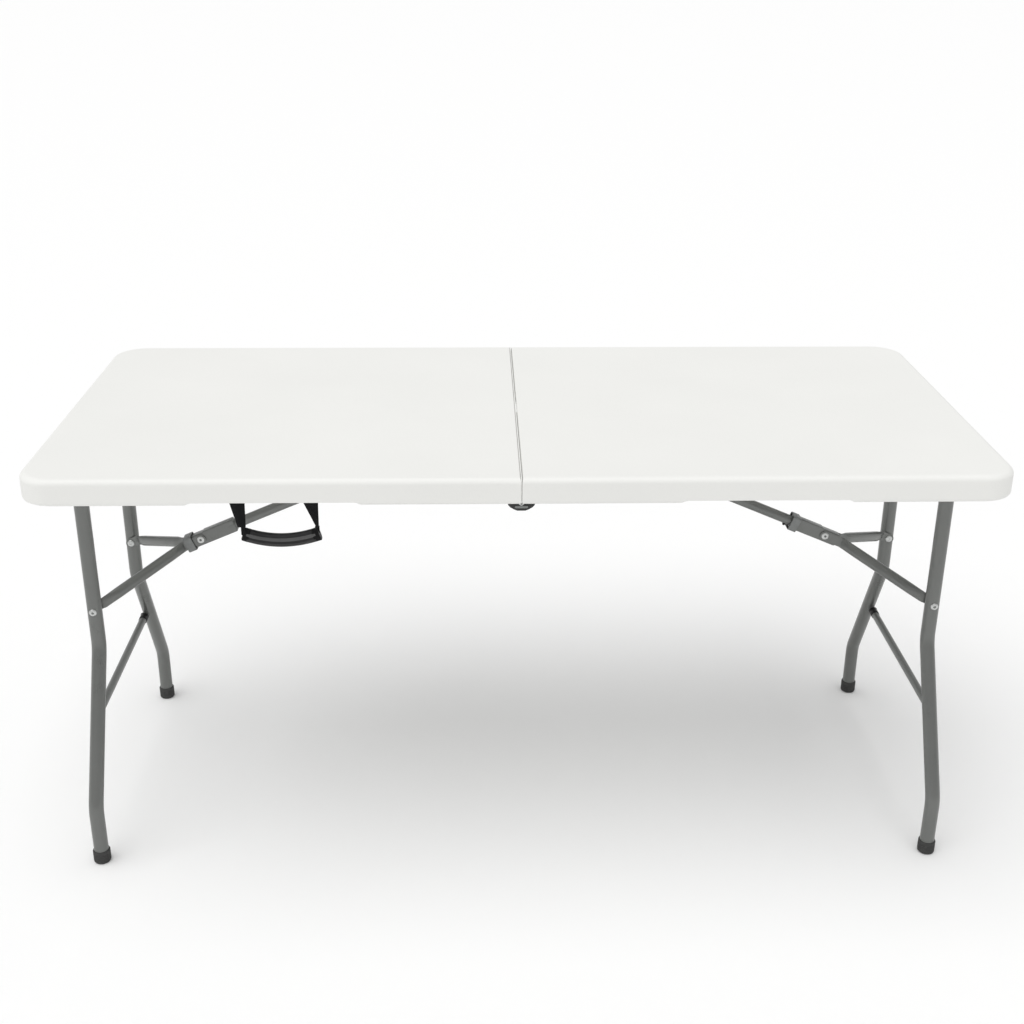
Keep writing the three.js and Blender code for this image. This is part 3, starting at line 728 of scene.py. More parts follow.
def make_half_tops():
    for side in SIDES:
        bm = carve(panel_skin(), panel_cutters(), 0.9)
        piece(bm, f"{side}_top_shell", f"{side}_half", "white_plastic",
              [f"{side}_top_panel"], half_turn(side), tidy=False)


def make_seam_strip():
    """A thin rib moulded on the left half that closes the gap at the seam."""
    bm = bmesh.new()
    gap = PANEL_LOW.x
    wide = HALF_WIDTH - SIDE_RIM
    x0, x1, high = -gap - 0.3, gap - 0.4, TOP - 1.2
    block(bm, (x0, -wide, TOP - 10), (x1, wide, high), 0.3)
    split = HINGE_SLOT[1] + 1
    for sign in (-1, 1):
        for inner, outer, low in ((wide, split, RIM + 24), (split, HALF_WIDTH - 1.5, RIM + 1.5)):
            y0, y1 = sorted((sign * inner, sign * outer))
            block(bm, (x0, y0, low), (x1, y1, high), 0.3)
    piece(bm, "seam_rib", "left_half", "white_plastic")


# ---------- Rails, bearings, clevises and screws under the top ----------

RAIL_WALL = 1.5
RAIL_SCREWS = (60.0, 260.0, 460.0, 660.0)  # from the seam
CLEVIS_PLATE = 2.5
CLEVIS_EAR = 9.0  # radius round the pin


def screw(bm, place, way, radius=4.2, height=2.2):
    """A pan head with a round drive recess."""
    turn = way.to_track_quat("Z", "Y").to_matrix().to_4x4()
    lathe(bm, [(0, height * 0.2), (radius * 0.3, height * 0.25), (radius * 0.4, height * 0.95),
               (radius * 0.62, height), (radius * 0.88, height * 0.75), (radius, height * 0.3),
               (radius, 0), (0, 0)], 20, Matrix.Translation(place) @ turn)


def make_rails():
    """Square tubes along both long edges, each with four screws."""
    wall = RAIL_WALL
    for side in SIDES:
        for end, sign in end_signs(side):
            y0, y1 = sorted((sign * RAIL_LOW.y, sign * RAIL_HIGH.y))
            outer = rounded_rectangle(y0, y1, RAIL_LOW.z, RAIL_HIGH.z, 2.5, 4)
            inner = rounded_rectangle(y0 + wall, y1 - wall, RAIL_LOW.z + wall,
                                      RAIL_HIGH.z - wall, 1.2, 4)
            bm, bore = bmesh.new(), bmesh.new()
            slab(bm, outer, RAIL_HIGH.x - RAIL_LOW.x,
                 Matrix.Translation((RAIL_LOW.x, 0, 0)) @ ALONG_X)
            slab(bore, inner, RAIL_HIGH.x, ALONG_X)
            piece(carve(bm, [bore]), f"{side}_rail_{end}_tube", f"{side}_half", "grey_paint",
                  [f"{side}_rail_{end}"], half_turn(side))
            screws = bmesh.new()
            for x in RAIL_SCREWS:
                screw(screws, Vector((x, (y0 + y1) / 2, RAIL_LOW.z)), -Z)
            piece(screws, f"{side}_rail_{end}_screws", f"{side}_half", "zinc",
                  matrix=half_turn(side))


def make_bearings():
    """A moulded saddle round the pivot tube."""
    for side in SIDES:
        low, high = node_box("right_leg_bearing_rear")
        for end, sign in end_signs(side):
            y0, y1 = sorted((sign * low.y, sign * high.y))
            x0, x1 = low.x, high.x
            bore = PIVOT.z - low.z - 3.0
            saddle = ([(x0, high.z), (x0, PIVOT.z)]
                      + arc(PIVOT.x, PIVOT.z, x1 - PIVOT.x, 180, 360, 16)
                      + [(x1, high.z)])
            bm, hole = bmesh.new(), bmesh.new()
            slab(bm, saddle, y1 - y0, Matrix.Translation((0, y1, 0)) @ ALONG_Y, 1.2)
            lathe(hole, [(0, 0), (bore, 0), (bore, y1 - y0 + 4), (0, y1 - y0 + 4)], 36,
                  Matrix.Translation((PIVOT.x, y0 - 2, PIVOT.z)) @ LATHE_TO_Y)
            piece(carve(bm, [hole], 0.5), f"{side}_bearing_{end}", f"{side}_half",
                  "black_plastic", [f"{side}_leg_bearing_{end}"], half_turn(side), tidy=False)


def make_clevises():
    """A plate with two ears that hold the link's eye, on four screws."""
    low, high = node_box("right_link_clevis")
    plate, ear = CLEVIS_PLATE, CLEVIS_EAR
    ear_in = EYE[0] + 0.6
    outline = ([(SEAT.x + ear, high.z - 1), (SEAT.x - ear, high.z - 1)]
               + arc(SEAT.x, SEAT.z, ear, 180, 360, 14))
    for side in SIDES:
        bm = bmesh.new()
        block(bm, (low.x, low.y, high.z - plate), (high.x, high.y, high.z), 1.0)
        for y0 in (-ear_in - plate, ear_in):
            slab(bm, outline, plate, Matrix.Translation((0, y0 + plate, 0)) @ ALONG_Y, 0.5)
        piece(bm, f"{side}_seat_clevis", f"{side}_half", "dark_steel",
              [f"{side}_link_clevis"], half_turn(side))
        screws = bmesh.new()
        for x in (low.x + 6, high.x - 6):
            for y in (low.y + 6, high.y - 6):
                screw(screws, Vector((x, y, high.z - plate)), -Z, 3.6, 1.9)
        piece(screws, f"{side}_clevis_screws", f"{side}_half", "zinc", matrix=half_turn(side))


# ---------- Rivets and pins ----------

HOLLOW = ((0, 3.6), (1.9, 3.6), (2.3, 0.2), (2.8, 0))  # radius and depth, at a rivet's end
HEAD = ((0.72, 0.1), (0.93, 0.45), (1.0, 0.8), (1.0, 1.0))  # shares of its radius and height
SHANK = 3.3
HEAD_RADIUS = 6.5
HINGE_PIN = 4.0


def riveted(bm, x, z, y0, y1, shank, heads, head_radius, head_height):
    """A hollow rivet along Y. heads says which end has a formed head."""
    def end(formed):
        if not formed:
            return [*HOLLOW, (shank, 0.3)]
        head = [(head_radius * out, head_height * deep) for out, deep in HEAD]
        return [*HOLLOW, *head, (shank, head_height)]

    start = [(radius, y0 + deep) for radius, deep in end(heads[0])]
    stop = [(radius, y1 - deep) for radius, deep in reversed(end(heads[1]))]
    lathe(bm, start + stop, 28, Matrix.Translation((x, 0, z)) @ LATHE_TO_Y)


def make_rivets():
    """Every rivet and pin takes its place and size from its CAD node."""
    both = (True, True)
    for side in SIDES:
        jobs = [(f"{side}_clevis_pin", f"{side}_half", both, 2.0),
                (f"{side}_knee_rivet", f"{side}_link_arm", both, 1.2)]
        for end in ENDS:
            outer = (end == "front", end == "rear")
            jobs.append((f"{side}_leg_rivet_{end}", f"{side}_leg_frame", outer, 2.0))
            jobs.append((f"{side}_strut_rivet_{end}", f"{side}_brace", outer[::-1], 2.0))
        for node, body, heads, height in jobs:
            low, high = node_box(node)
            middle = (low + high) / 2
            bm = bmesh.new()
            riveted(bm, middle.x, middle.z, low.y, high.y, SHANK, heads,
                    HEAD_RADIUS, height)
            piece(bm, node.replace("rivet", "stud").replace("_pin", "_stud"), body, "zinc", [node])
    for end in ENDS:
        low, high = node_box(f"hinge_pin_{end}")
        bm = bmesh.new()
        riveted(bm, FOLD.x, FOLD.z, low.y, high.y, HINGE_PIN, (False, False), HINGE_PIN, 0.5)
        piece(bm, f"hinge_stud_{end}", "left_half", "zinc", [f"hinge_pin_{end}"])


# ---------- Leg frames ----------

PIVOT_LOW, PIVOT_HIGH = node_box("right_pivot_tube")
PIVOT_TUBE = (PIVOT_HIGH.z - PIVOT_LOW.z) / 2
PIVOT_WELD = (12.2, 10.6)  # from a leg's axis along the pivot tube, and radius
BAR_LOW, BAR_HIGH = node_box("right_crossbar")
BAR = (BAR_HIGH.z - BAR_LOW.z) / 2
BAR_X = (BAR_HIGH.x + BAR_LOW.x) / 2
BAR_Z = (BAR_HIGH.z + BAR_LOW.z) / 2
COLLAR = (0.15, 0.95, 20.0)  # inside and outside over the cross tube, and length


def leg_centre(height):
    """How far a leg's axis is from the middle of the table at a height."""
    s = shape()
    share = (s.splay_top / MM - height) / ((s.splay_top - s.splay_end) / MM)
    return between(LEG_TOP_SPAN, LEG_FOOT_SPAN, min(max(share, 0), 1))


def weld_bead(bm, place, way, radius, bead=1.7, lean=0.0):
    """A slightly wavy ring of weld round a tube's end."""
    turn = way.to_track_quat("Z", "Y").to_matrix().to_4x4()
    made = bmesh.ops.create_circle(bm, segments=8, radius=bead,
                                   matrix=Matrix.Translation((radius, 0, 0)) @ ALONG_Y)
    verts = made["verts"]
    edges = edges_within(verts)
    before = set(bm.verts) - set(verts)
    bmesh.ops.spin(bm, geom=verts + edges, cent=(0, 0, 0), axis=(0, 0, 1),
                   angle=2 * math.pi, steps=30, use_merge=True)
    ring = [v for v in bm.verts if v not in before]
    for v in ring:
        a = math.atan2(v.co.y, v.co.x)
        v.co *= 1 + 0.02 * math.sin(11 * a)
    shear = Matrix()
    shear[2][1] = lean
    bmesh.ops.transform(bm, matrix=Matrix.Translation(place) @ turn @ shear, verts=ring)


def make_leg_tubes():
    s = shape()
    for side in SIDES:
        for end, sign in end_signs(side):
            corners = [(LEG_X, sign * LEG_TOP_SPAN, PIVOT.z - 2),
                       (LEG_X, sign * LEG_TOP_SPAN, s.splay_top / MM),
                       (LEG_X, sign * LEG_FOOT_SPAN, s.splay_end / MM),
                       (LEG_X, sign * LEG_FOOT_SPAN, 3.3)]
            bm = bmesh.new()
            sweep(bm, bent_stations(corners, X, TUBE, s.leg_bend / MM, 14))
            cope, hole = bmesh.new(), bmesh.new()
            for tool, radius, x, z in ((cope, PIVOT_TUBE + 0.3, PIVOT.x, PIVOT.z),
                                       (hole, SHANK + 0.3, LEG_X, LEG_RIVET.z)):
                steps = 40 if tool is cope else 24
                lathe(tool, [(0, -30), (radius, -30), (radius, 30), (0, 30)], steps,
                      Matrix.Translation((x, sign * LEG_TOP_SPAN, z)) @ LATHE_TO_Y)
            piece(carve(bm, [cope, hole]), f"{side}_leg_{end}", f"{side}_leg_frame",
                  "grey_paint", [f"{side}_leg_tube_{end}"], half_turn(side), tidy=False)
        beads = bmesh.new()
        aside, radius = PIVOT_WELD
        for sign in (-1, 1):
            for step in (-aside, aside):
                weld_bead(beads, Vector((PIVOT.x, sign * LEG_TOP_SPAN + step, PIVOT.z)), Y, radius)
        piece(beads, f"{side}_pivot_welds", f"{side}_leg_frame", "grey_paint",
              matrix=half_turn(side))


def make_pivot_tube(side):
    """The tube that a leg frame turns on, open at both ends."""
    low, high, radius = PIVOT_LOW.y, PIVOT_HIGH.y, PIVOT_TUBE
    bm = bmesh.new()
    lathe(bm, [(radius - 1.5, low), (radius - 0.3, low), (radius, low + 0.5),
               (radius, high - 0.5), (radius - 0.3, high), (radius - 1.5, high),
               (radius - 1.5, low)], 36,
          Matrix.Translation((PIVOT.x, 0, PIVOT.z)) @ LATHE_TO_Y)
    piece(bm, f"{side}_pivot_bar", f"{side}_leg_frame", "grey_paint",
          [f"{side}_pivot_tube"], half_turn(side))


def make_cross_tube(side, touch, lean):
    """A tube between the legs, welded where it meets their leaning inner faces."""
    bm = bmesh.new()
    sweep(bm, [station(Vector((BAR_X, y, BAR_Z)), Y, Z, BAR) for y in (-touch - 3, touch + 3)], 28)
    piece(bm, f"{side}_cross_rod", f"{side}_leg_frame", "grey_paint",
          [f"{side}_crossbar"], half_turn(side))
    beads = bmesh.new()
    for sign in (-1, 1):
        weld_bead(beads, Vector((BAR_X, sign * touch, BAR_Z)), sign * Y, BAR + 0.4, 1.6, -lean)
    piece(beads, f"{side}_cross_welds", f"{side}_leg_frame", "grey_paint",
          matrix=half_turn(side))


def make_collar(side, touch):
    """A short sleeve round the rear end of the cross tube."""
    rear = -front_sign(side)
    inside, outside, long = COLLAR
    inner, outer = BAR + inside, BAR + outside
    bm = bmesh.new()
    lathe(bm, [(inner, 0), (outer - 0.3, 0), (outer, 0.4), (outer, long - 0.4),
               (outer - 0.3, long), (inner, long), (inner, 0)], 30,
          Matrix.Translation((BAR_X, rear * (touch - 4) - (long if rear > 0 else 0), BAR_Z))
          @ LATHE_TO_Y)
    piece(bm, f"{side}_cross_collar", f"{side}_leg_frame", "black_plastic",
          matrix=half_turn(side))


def make_cross_tubes():
    s = shape()
    lean = (LEG_FOOT_SPAN - LEG_TOP_SPAN) / ((s.splay_top - s.splay_end) / MM)
    touch = leg_centre(BAR_Z) - TUBE * math.hypot(1, lean)
    for side in SIDES:
        make_pivot_tube(side)
        make_cross_tube(side, touch, lean)
        make_collar(side, touch)


def make_feet():
    """Ribbed rubber caps, with a step at the floor and a soft mouth round the tube."""
    low, high = node_box("right_foot_rear")
    radius = (high.x - low.x) / 2
    profile = [(0, 0), (radius - 3.4, 0), (radius - 1.4, 0.7), (radius - 0.3, 2.4), (radius, 4.2)]
    for rib in range(4):
        base = 5.6 + rib * 3.6
        profile += [(radius, base), (radius - 0.7, base + 0.6), (radius - 0.7, base + 1.4),
                    (radius, base + 2.0)]
    profile += [(radius, high.z - 2.4), (radius - 0.5, high.z - 0.8), (radius - 1.3, high.z),
                (TUBE + 0.15, high.z), (TUBE + 0.15, 3.0), (0, 3.0)]
    for side in SIDES:
        for end, sign in end_signs(side):
            bm = bmesh.new()
            lathe(bm, profile, 40, Matrix.Translation((LEG_X, sign * LEG_FOOT_SPAN, 0)))
            piece(bm, f"{side}_cap_{end}", f"{side}_leg_frame", "foot_rubber",
                  [f"{side}_foot_{end}"], half_turn(side))


# ---------- Folding braces and lock rings ----------

PLATE = 0.9  # half thickness of a flattened strut end
PLATE_TALL = 9.5
STRUT_BEND = 33.0  # from the knee to the first bend
STRUT_LAND = 14.0  # from the leg rivet back to the second bend
STRUT = 9.5
STRUT_ROUND = (56.0, STRUT_REACH - 36.0)


def rounded_tip(x, y, wide, tall, way):
    """Sections of a flat end round x, from its tip to its full height. way is -1 or 1 along X."""
    angles = [math.radians(90 * k / 6) for k in range(1, 7)]
    return [station(Vector((x + way * tall * math.cos(a), y, 0)), X, Z, wide, tall * math.sin(a))
            for a in angles]


def strut_stations():
    """A tube flattened at both ends, from the knee out to the leg rivet."""
    near = STRUT_LOW.y + PLATE
    far = STRUT_HIGH.y - PLATE
    first = Vector((STRUT_BEND, near, 0))
    second = Vector((STRUT_REACH - STRUT_LAND, far, 0))
    slope = (second - first).normalized()
    made = rounded_tip(0, near, PLATE, PLATE_TALL, -1)
    made.append(station(Vector((STRUT_BEND - 3, near, 0)), X, Z, PLATE, PLATE_TALL))
    made.append(station(first, X + slope, Z, PLATE, PLATE_TALL))
    steps = 6
    shares = [k / steps for k in range(1, steps + 1)]
    run = (STRUT_ROUND[0] - STRUT_BEND) / slope.x
    back = (second.x - STRUT_ROUND[1]) / slope.x
    for start, reach, order in ((first, run, shares), (second, -back, shares[::-1])):
        for t in order:
            made.append(station(start + slope * reach * t, slope, Z,
                                between(PLATE, STRUT, eased(t)),
                                between(PLATE_TALL, STRUT, eased(t))))
    made.append(station(second, X + slope, Z, PLATE, PLATE_TALL))
    return made + rounded_tip(STRUT_REACH, far, PLATE, PLATE_TALL, 1)[::-1]


def make_struts():
    for side in SIDES:
        for end, sign in end_signs(side):
            bm = bmesh.new()
            sweep(bm, strut_stations())
            if sign < 0:
                bmesh.ops.transform(bm, matrix=Matrix.Rotation(math.pi, 4, "X"), verts=bm.verts)
            piece(bm, f"{side}_brace_{end}", f"{side}_brace", "grey_paint",
                  [f"{side}_strut_{end}"], half_turn(side) @ KNEE_FRAME, sharp=50)


LINK = 9.0
EYE = (6.3, 7.0, 30.0, 44.0)  # half width, half height, flat length, start of the round tube
SLEEVE_WIDTH = 16.6
SLEEVE_TALL = 12.0  # half height
SLEEVE_RANGE = (-68.0, 28.0)  # from the knee
SLEEVE_MOUTH = (7.0, 6.6, 10.4)  # open end: from the knee, half width, half height


def link_stations():
    """A round tube whose end is flattened into an eye."""
    wide, tall, flat, tube_from = EYE
    made = rounded_tip(0, 0, wide, tall, -1)
    made.append(station(Vector((flat - 12, 0, 0)), X, Z, wide, tall))
    for k in range(1, 6):
        t = k / 5
        made.append(station(Vector((between(flat - 6, tube_from, t), 0, 0)), X, Z,
                            between(wide, LINK, eased(t)), between(tall, LINK, eased(t))))
    made.append(station(Vector((LINK_REACH + SLEEVE_RANGE[0] + 12, 0, 0)), X, Z, LINK))
    return made


def squared_sleeve():
    """The link's squared end: open at the knee, with a stepped upper edge."""
    start = LINK_REACH + SLEEVE_RANGE[0]
    stop = LINK_REACH + SLEEVE_RANGE[1]
    tall = SLEEVE_TALL
    outline = (arc(start + 2, 2 - tall, 2, 180, 270, 4) + arc(stop - 6, 6 - tall, 6, 270, 360, 6)
               + arc(stop - 4, tall - 5.2, 4, 0, 90, 5)
               + [(LINK_REACH - 7, tall - 1.2), (LINK_REACH - 10, tall)]
               + arc(start + 2, tall - 2, 2, 90, 180, 4))
    body, mouth = bmesh.new(), bmesh.new()
    slab(body, outline, SLEEVE_WIDTH, Matrix.Translation((0, SLEEVE_WIDTH / 2, 0)) @ ALONG_Y, 1.8, 4)
    inward, wide, high = SLEEVE_MOUTH
    block(mouth, (LINK_REACH + inward, -wide, -high), (stop + 5, wide, high - 1.4), 2)
    return carve(body, [mouth])


def make_links():
    for side in SIDES:
        place = half_turn(side) @ LINK_FRAME
        bm = bmesh.new()
        sweep(bm, link_stations())
        piece(bm, f"{side}_link_tube", f"{side}_link_arm", "grey_paint", [f"{side}_link"], place)
        piece(squared_sleeve(), f"{side}_link_sleeve", f"{side}_link_arm", "grey_paint",
              matrix=place)
        bead = bmesh.new()
        weld_bead(bead, Vector((LINK_REACH + SLEEVE_RANGE[0] - 0.2, 0, 0)), X, LINK + 0.1, 1.0)
        piece(bead, f"{side}_link_weld", f"{side}_link_arm", "grey_paint", matrix=place)
        low, high = node_box(f"{side}_ring_stop")
        spot = place.inverted() @ ((low + high) / 2)
        button = bmesh.new()
        lathe(button, [(0, -1.9), (1.7, -1.8), (2.3, -1.2), (2.4, 0.6), (3.4, 0.8), (3.4, 1.9),
                       (0, 1.9)], 20, Matrix.Translation((spot.x, 0, spot.z)))
        piece(button, f"{side}_stop_button", f"{side}_link_arm", "black_plastic",
              [f"{side}_ring_stop"], place)


RING_WALL = 1.2
RING_LENGTH = 15.0
RING_BELOW = 13.5


def make_lock_rings():
    """A strip bent into a square loop, its ends butted underneath."""
    low, high = node_box("right_lock_ring")
    half = (high.y - low.y) / 2
    top = SLEEVE_TALL + 0.3 + RING_WALL
    for side in SIDES:
        centre = LINK_FRAME.inverted() @ (half_turn(side).inverted()
                                          @ node_middle(f"{side}_lock_ring"))
        bm, hole, gap = bmesh.new(), bmesh.new(), bmesh.new()
        start = centre.x - RING_LENGTH / 2
        place = Matrix.Translation((start, 0, 0)) @ ALONG_X
        slab(bm, rounded_rectangle(-half, half, -RING_BELOW - RING_WALL, top, 3.6, 6),
             RING_LENGTH, place, 0.4)
        slab(hole, rounded_rectangle(-half + RING_WALL, half - RING_WALL, -RING_BELOW,
                                     top - RING_WALL, 2.2, 6),
             RING_LENGTH + 4, Matrix.Translation((start - 2, 0, 0)) @ ALONG_X)
        block(gap, (start - 2, -0.35, -RING_BELOW - RING_WALL - 1),
              (start + RING_LENGTH + 2, 0.35, -RING_BELOW + 0.5))
        piece(carve(bm, [hole, gap], 0.25), f"{side}_ring_loop", f"{side}_ring", "satin",
              [f"{side}_lock_ring"], half_turn(side) @ LINK_FRAME, tidy=False)


# ---------- Centre hinges ----------

def make_hinges():
    for side in SIDES:
        for end, sign in end_signs(side):
            low, high = node_box(f"{side}_hinge_leaf_{end}")
            middle = half_turn(side).inverted() @ ((low + high) / 2)
            y0, y1 = middle.y - 1.5, middle.y + 1.5
            wide, drop = HINGE_DISC
            long, tall = HINGE_ARM
            bowl = [(-wide, 0), (-wide + 1.6, -drop * 0.32), (-wide + 4.6, -drop * 0.58),
                    (-wide * 0.5, -drop * 0.86), (-6, -drop)]
            leaf = ([(long, 4), (long, tall - 2), (long - 2, tall), (0, tall),
                     (-wide * 0.5, 11.5), (-wide * 0.83, 6)]
                    + bowl + [(-x, z) for x, z in reversed(bowl)] + [(wide + 4, 2), (long - 2, 2)])
            bm = bmesh.new()
            slab(bm, leaf, y1 - y0, Matrix.Translation((FOLD.x, y1, FOLD.z)) @ ALONG_Y, 0.5)
            piece(bm, f"{side}_hinge_plate_{end}", f"{side}_half", "dark_steel",
                  [f"{side}_hinge_leaf_{end}"], half_turn(side))
            if side == "left":
                boss = bmesh.new()
                face = y1 if sign > 0 else y0 - 0.8
                slab(boss, rounded_rectangle(-10, 10, -8.6, -4.6, 1.9), 0.8,
                     Matrix.Translation((FOLD.x, face + 0.8, FOLD.z)) @ ALONG_Y, 0.25)
                piece(boss, f"hinge_boss_{end}", "left_half", "satin", (), half_turn(side))


# ---------- Carry handle ----------

STRAP = 1.25  # half thickness where the webbing is flat
GATHERED = 3.2  # half thickness where it enters the grip
STRAP_STEPS = 16
LOOP = (2.4, 4.5)  # inside and outside radius of a strap's loop
GRIP = (8.0, 11.0)  # half width and half height
GRIP_CENTRE = node_middle("handle_grip").x
GRIP_LOW, GRIP_HIGH = node_box("handle_grip")
GRIP_ENDS = HANDLE.z - 60.0
GRIP_SAG = 11.0


def grip_line(t):
    """The grip's axis, from t = 0 at its left end to 1 at its right end."""
    half = (GRIP_HIGH.x - GRIP_LOW.x) / 2 - 3.0
    return Vector((GRIP_CENTRE + half * (2 * t - 1), HANDLE.y,
                   GRIP_ENDS - 4 * GRIP_SAG * t * (1 - t)))


def grip_stations(across, tall, forward, rise, inset, steps=26):
    """Sections along the grip, closing to a rounded end at each side."""
    made = []
    for k in range(steps + 1):
        t = between(inset, 1 - inset, k / steps)
        ahead = grip_line(min(t + 0.01, 1)) - grip_line(max(t - 0.01, 0))
        close = min(k, steps - k)
        swell = [0.86, 0.97][close] if close < 2 else 1.0
        place = grip_line(t) + Vector((0, forward, rise))
        made.append(station(place, ahead, Z, across * swell, tall * swell))
    return made


def make_grip():
    """A black core between two ferrules, with a painted highlight ridge over a dimmer painted
    highlight ridge.
    """
    bm = bmesh.new()
    sweep(bm, grip_stations(*GRIP, 0, 0, 0.0), 32)
    piece(bm, "grip_core", "handle", "black_plastic", ["handle_grip"])
    # Each ridge is grey as a painted highlight for the light that the black grip reflects, the lower
    # one dimmer
    for name, rise, tall, surface in (("upper", 2.6, 3.2, "grip"), ("lower", -6.0, 2.6, "grip_dim_painted_highlight")):
        bm = bmesh.new()
        for forward in (-6.2, 6.2):
            sweep(bm, grip_stations(2.6, tall, forward, rise, 0.05), 20)
        piece(bm, f"grip_ridge_{name}", "handle", surface)
    bands = bmesh.new()
    for t in (0.045, 0.955):
        spot = grip_line(t)
        way = grip_line(t + 0.01) - grip_line(t - 0.01)
        stations = [station(spot + way.normalized() * d, way, Z, a, b)
                    for d, a, b in ((-5, 7.9, 10.4), (-4.4, 8.4, 10.9), (4.4, 8.4, 11.1),
                                    (5, 7.9, 10.6))]
        sweep(bands, stations, 32)
    for end, aside in (("left", 7.4), ("right", 9.2)):
        low, high = node_box(f"handle_strap_{end}")
        x = (low.x + high.x) / 2 + aside
        block(bands, (x - 3.6, HANDLE.y - 2.6, GRIP_ENDS - 2), (x + 3.2, HANDLE.y + 2.6, low.z + 0.6),
              1.2)
    piece(bands, "grip_ferrules", "handle", "webbing")


def make_straps():
    """Webbing that hangs from its loop and gathers as it narrows into the grip."""
    for end, aside, narrow in (("left", 4.8, 6.5), ("right", 9.2, 2.4)):
        low, high = node_box(f"handle_strap_{end}")
        x = (low.x + high.x) / 2
        half = (high.x - low.x) / 2
        bm = bmesh.new()
        stations = []
        for k in range(STRAP_STEPS + 1):
            t = k / STRAP_STEPS
            height = between(HANDLE.z - 4.4, low.z + 0.05, t)
            stations.append(station(Vector((x + aside * t, HANDLE.y, height)), -Z, Y,
                                    between(half - 0.2, narrow, t),
                                    between(STRAP, GATHERED, eased(t))))
        sweep(bm, stations, 24)
        loop = arc(0, 0, LOOP[1], 0, 340, 22) + arc(0, 0, LOOP[0], 340, 0, 22)
        slab(bm, loop, 2 * half - 0.6,
             Matrix.Translation((x - half + 0.3, HANDLE.y, HANDLE.z)) @ ALONG_X)
        piece(bm, f"strap_{end}", "handle", "webbing", [f"handle_strap_{end}"])


def make_anchors():
    """A stirrup for each strap: two ears, a bridge and the rod that the loop hangs on."""
    for end in ("left", "right"):
        low, high = node_box(f"handle_anchor_{end}")
        bm = bmesh.new()
        for x0, x1 in ((low.x, low.x + 2.5), (high.x - 2.5, high.x)):
            block(bm, (x0, low.y, low.z), (x1, high.y, high.z), 0.7)
        block(bm, (low.x + 1, low.y, high.z - 2.5), (high.x - 1, high.y, high.z), 0.6)
        lathe(bm, [(0, 0), (2, 0), (2, high.x - low.x - 3), (0, high.x - low.x - 3)], 20,
              Matrix.Translation((low.x + 1.5, HANDLE.y, HANDLE.z)) @ LATHE_TO_X)
        piece(bm, f"strap_stirrup_{end}", "left_half", "black_plastic",
              [f"handle_anchor_{end}"])


# ---------- Stage ----------

CAMERA_PLACE = Vector((-0.0674, -2.2684, 1.5089))
CAMERA_TURN = (1.58, 23.2, 0.31)  # degrees: to the right, down, and roll
CAMERA_LENS = 48.58


def make_camera():
    data = bpy.data.cameras.new("camera")
    data.lens = CAMERA_LENS
    data.sensor_width = 36.0
    camera = bpy.data.objects.new("camera", data)
    yaw, pitch, roll = (math.radians(a) for a in CAMERA_TURN)
    turn = (Matrix.Rotation(-yaw, 4, "Z") @ Matrix.Rotation(math.pi / 2 - pitch, 4, "X")
            @ Matrix.Rotation(roll, 4, "Z"))
    camera.matrix_world = Matrix.Translation(CAMERA_PLACE) @ turn
    bpy.context.scene.collection.objects.link(camera)
    bpy.context.scene.camera = camera


def sun_light(name, way, power, softness):
    """A lamp from far away, the same strength everywhere, as a large soft box would give."""
    data = bpy.data.lights.new(name, "SUN")
    data.energy = power
    data.angle = math.radians(softness)
    light = bpy.data.objects.new(name, data)
    light.matrix_world = Vector(way).to_track_quat("-Z", "Y").to_matrix().to_4x4()
    bpy.context.scene.collection.objects.link(light)


def make_stage():
    bm = bmesh.new()
    bmesh.ops.create_grid(bm, x_segments=1, y_segments=1, size=150)
    mesh = bpy.data.meshes.new("floor")
    bm.to_mesh(mesh)
    bm.free()
    floor = bpy.data.objects.new("floor", mesh)
    bpy.context.scene.collection.objects.link(floor)
    paper = Surface("paper", (0.93, 0.93, 0.928), 0.9)
    mesh.materials.append(paper.material)
    sun_light("soft_box", (0.25, 0.25, -1.0), 1.55, 60)
    world = bpy.data.worlds.new("studio")
    world.use_nodes = True
    background = world.node_tree.nodes["Background"]
    background.inputs["Color"].default_value = (1.0, 1.0, 1.0, 1.0)
    background.inputs["Strength"].default_value = 0.62
    bpy.context.scene.world = world
    bpy.context.scene.view_settings.view_transform = "Standard"


# ---------- Operators, panel and registration ----------

class TABLE_OT_camera(bpy.types.Operator):
    """Places the camera"""

    bl_idname = "table.camera"
    bl_label = "Camera"
    bl_options = {"REGISTER", "UNDO"}

    def execute(self, context):
        make_camera()
        return {"FINISHED"}


class TABLE_OT_half_tops(bpy.types.Operator):
    """Moulds the two half tops and the rib at their seam"""

    bl_idname = "table.half_tops"
    bl_label = "Half tops"
    bl_options = {"REGISTER", "UNDO"}

    def execute(self, context):
        make_half_tops()
        make_seam_strip()
        return {"FINISHED"}


class TABLE_OT_rails(bpy.types.Operator):
    """Makes the side rails and their screws"""

    bl_idname = "table.rails"
    bl_label = "Rails"
    bl_options = {"REGISTER", "UNDO"}

    def execute(self, context):
        make_rails()
        return {"FINISHED"}


class TABLE_OT_bearings(bpy.types.Operator):
    """Makes the saddles of the pivot tubes"""

    bl_idname = "table.bearings"
    bl_label = "Bearings"
    bl_options = {"REGISTER", "UNDO"}

    def execute(self, context):
        make_bearings()
        return {"FINISHED"}


class TABLE_OT_clevises(bpy.types.Operator):
    """Makes the brackets that hold the links"""

    bl_idname = "table.clevises"
    bl_label = "Clevises"
    bl_options = {"REGISTER", "UNDO"}

    def execute(self, context):
        make_clevises()
        return {"FINISHED"}


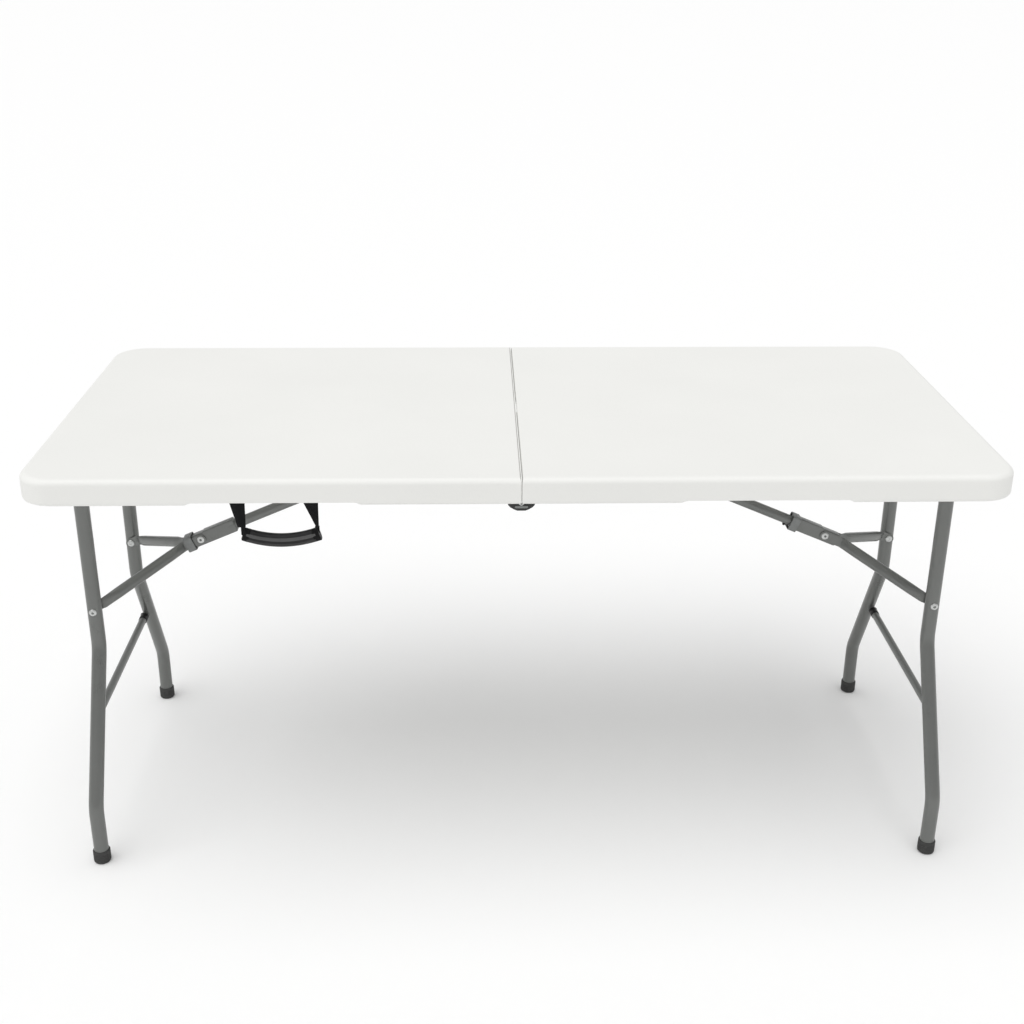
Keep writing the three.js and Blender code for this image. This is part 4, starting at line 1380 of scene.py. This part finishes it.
class TABLE_OT_legs(bpy.types.Operator):
    """Bends the leg tubes and adds the cross tubes and foot caps"""

    bl_idname = "table.legs"
    bl_label = "Leg frames"
    bl_options = {"REGISTER", "UNDO"}

    def execute(self, context):
        make_leg_tubes()
        make_cross_tubes()
        make_feet()
        return {"FINISHED"}


class TABLE_OT_braces(bpy.types.Operator):
    """Makes the struts and links"""

    bl_idname = "table.braces"
    bl_label = "Braces"
    bl_options = {"REGISTER", "UNDO"}

    def execute(self, context):
        make_struts()
        make_links()
        return {"FINISHED"}


class TABLE_OT_rivets(bpy.types.Operator):
    """Sets every rivet and pin"""

    bl_idname = "table.rivets"
    bl_label = "Rivets"
    bl_options = {"REGISTER", "UNDO"}

    def execute(self, context):
        make_rivets()
        return {"FINISHED"}


class TABLE_OT_rings(bpy.types.Operator):
    """Bends the lock rings"""

    bl_idname = "table.rings"
    bl_label = "Lock rings"
    bl_options = {"REGISTER", "UNDO"}

    def execute(self, context):
        make_lock_rings()
        return {"FINISHED"}


class TABLE_OT_hinges(bpy.types.Operator):
    """Makes the centre hinge plates"""

    bl_idname = "table.hinges"
    bl_label = "Centre hinges"
    bl_options = {"REGISTER", "UNDO"}

    def execute(self, context):
        make_hinges()
        return {"FINISHED"}


class TABLE_OT_handle(bpy.types.Operator):
    """Makes the anchors, straps and grip"""

    bl_idname = "table.handle"
    bl_label = "Carry handle"
    bl_options = {"REGISTER", "UNDO"}

    def execute(self, context):
        make_anchors()
        make_straps()
        make_grip()
        return {"FINISHED"}


class TABLE_OT_stage(bpy.types.Operator):
    """Adds the floor and the studio light"""

    bl_idname = "table.stage"
    bl_label = "Stage"
    bl_options = {"REGISTER", "UNDO"}

    def execute(self, context):
        make_stage()
        return {"FINISHED"}


OPERATORS = (
    TABLE_OT_camera,
    TABLE_OT_half_tops,
    TABLE_OT_rails,
    TABLE_OT_bearings,
    TABLE_OT_clevises,
    TABLE_OT_legs,
    TABLE_OT_braces,
    TABLE_OT_rivets,
    TABLE_OT_rings,
    TABLE_OT_hinges,
    TABLE_OT_handle,
    TABLE_OT_stage,
)


class TABLE_PT_maker(bpy.types.Panel):
    """Lists the makers of the table's pieces."""

    bl_idname = "TABLE_PT_maker"
    bl_label = "Folding table"
    bl_space_type = "VIEW_3D"
    bl_region_type = "UI"
    bl_category = "Table"

    def draw(self, context):
        layout = self.layout
        for group in (context.scene.table_finish, context.scene.table_shape):
            box = layout.box()
            for key in group.__annotations__:
                box.prop(group, key)
        for made in OPERATORS:
            layout.operator(made.bl_idname)


CLASSES = (TableFinish, TableShape, *OPERATORS, TABLE_PT_maker)


def register():
    for made in CLASSES:
        bpy.utils.register_class(made)
    bpy.types.Scene.table_finish = bpy.props.PointerProperty(type=TableFinish)
    bpy.types.Scene.table_shape = bpy.props.PointerProperty(type=TableShape)


def unregister():
    del bpy.types.Scene.table_shape
    del bpy.types.Scene.table_finish
    for made in reversed(CLASSES):
        bpy.utils.unregister_class(made)


def main():
    register()
    for made in OPERATORS:
        getattr(bpy.ops.table, made.bl_idname.split(".")[1])()


if __name__ == "__main__":
    main()
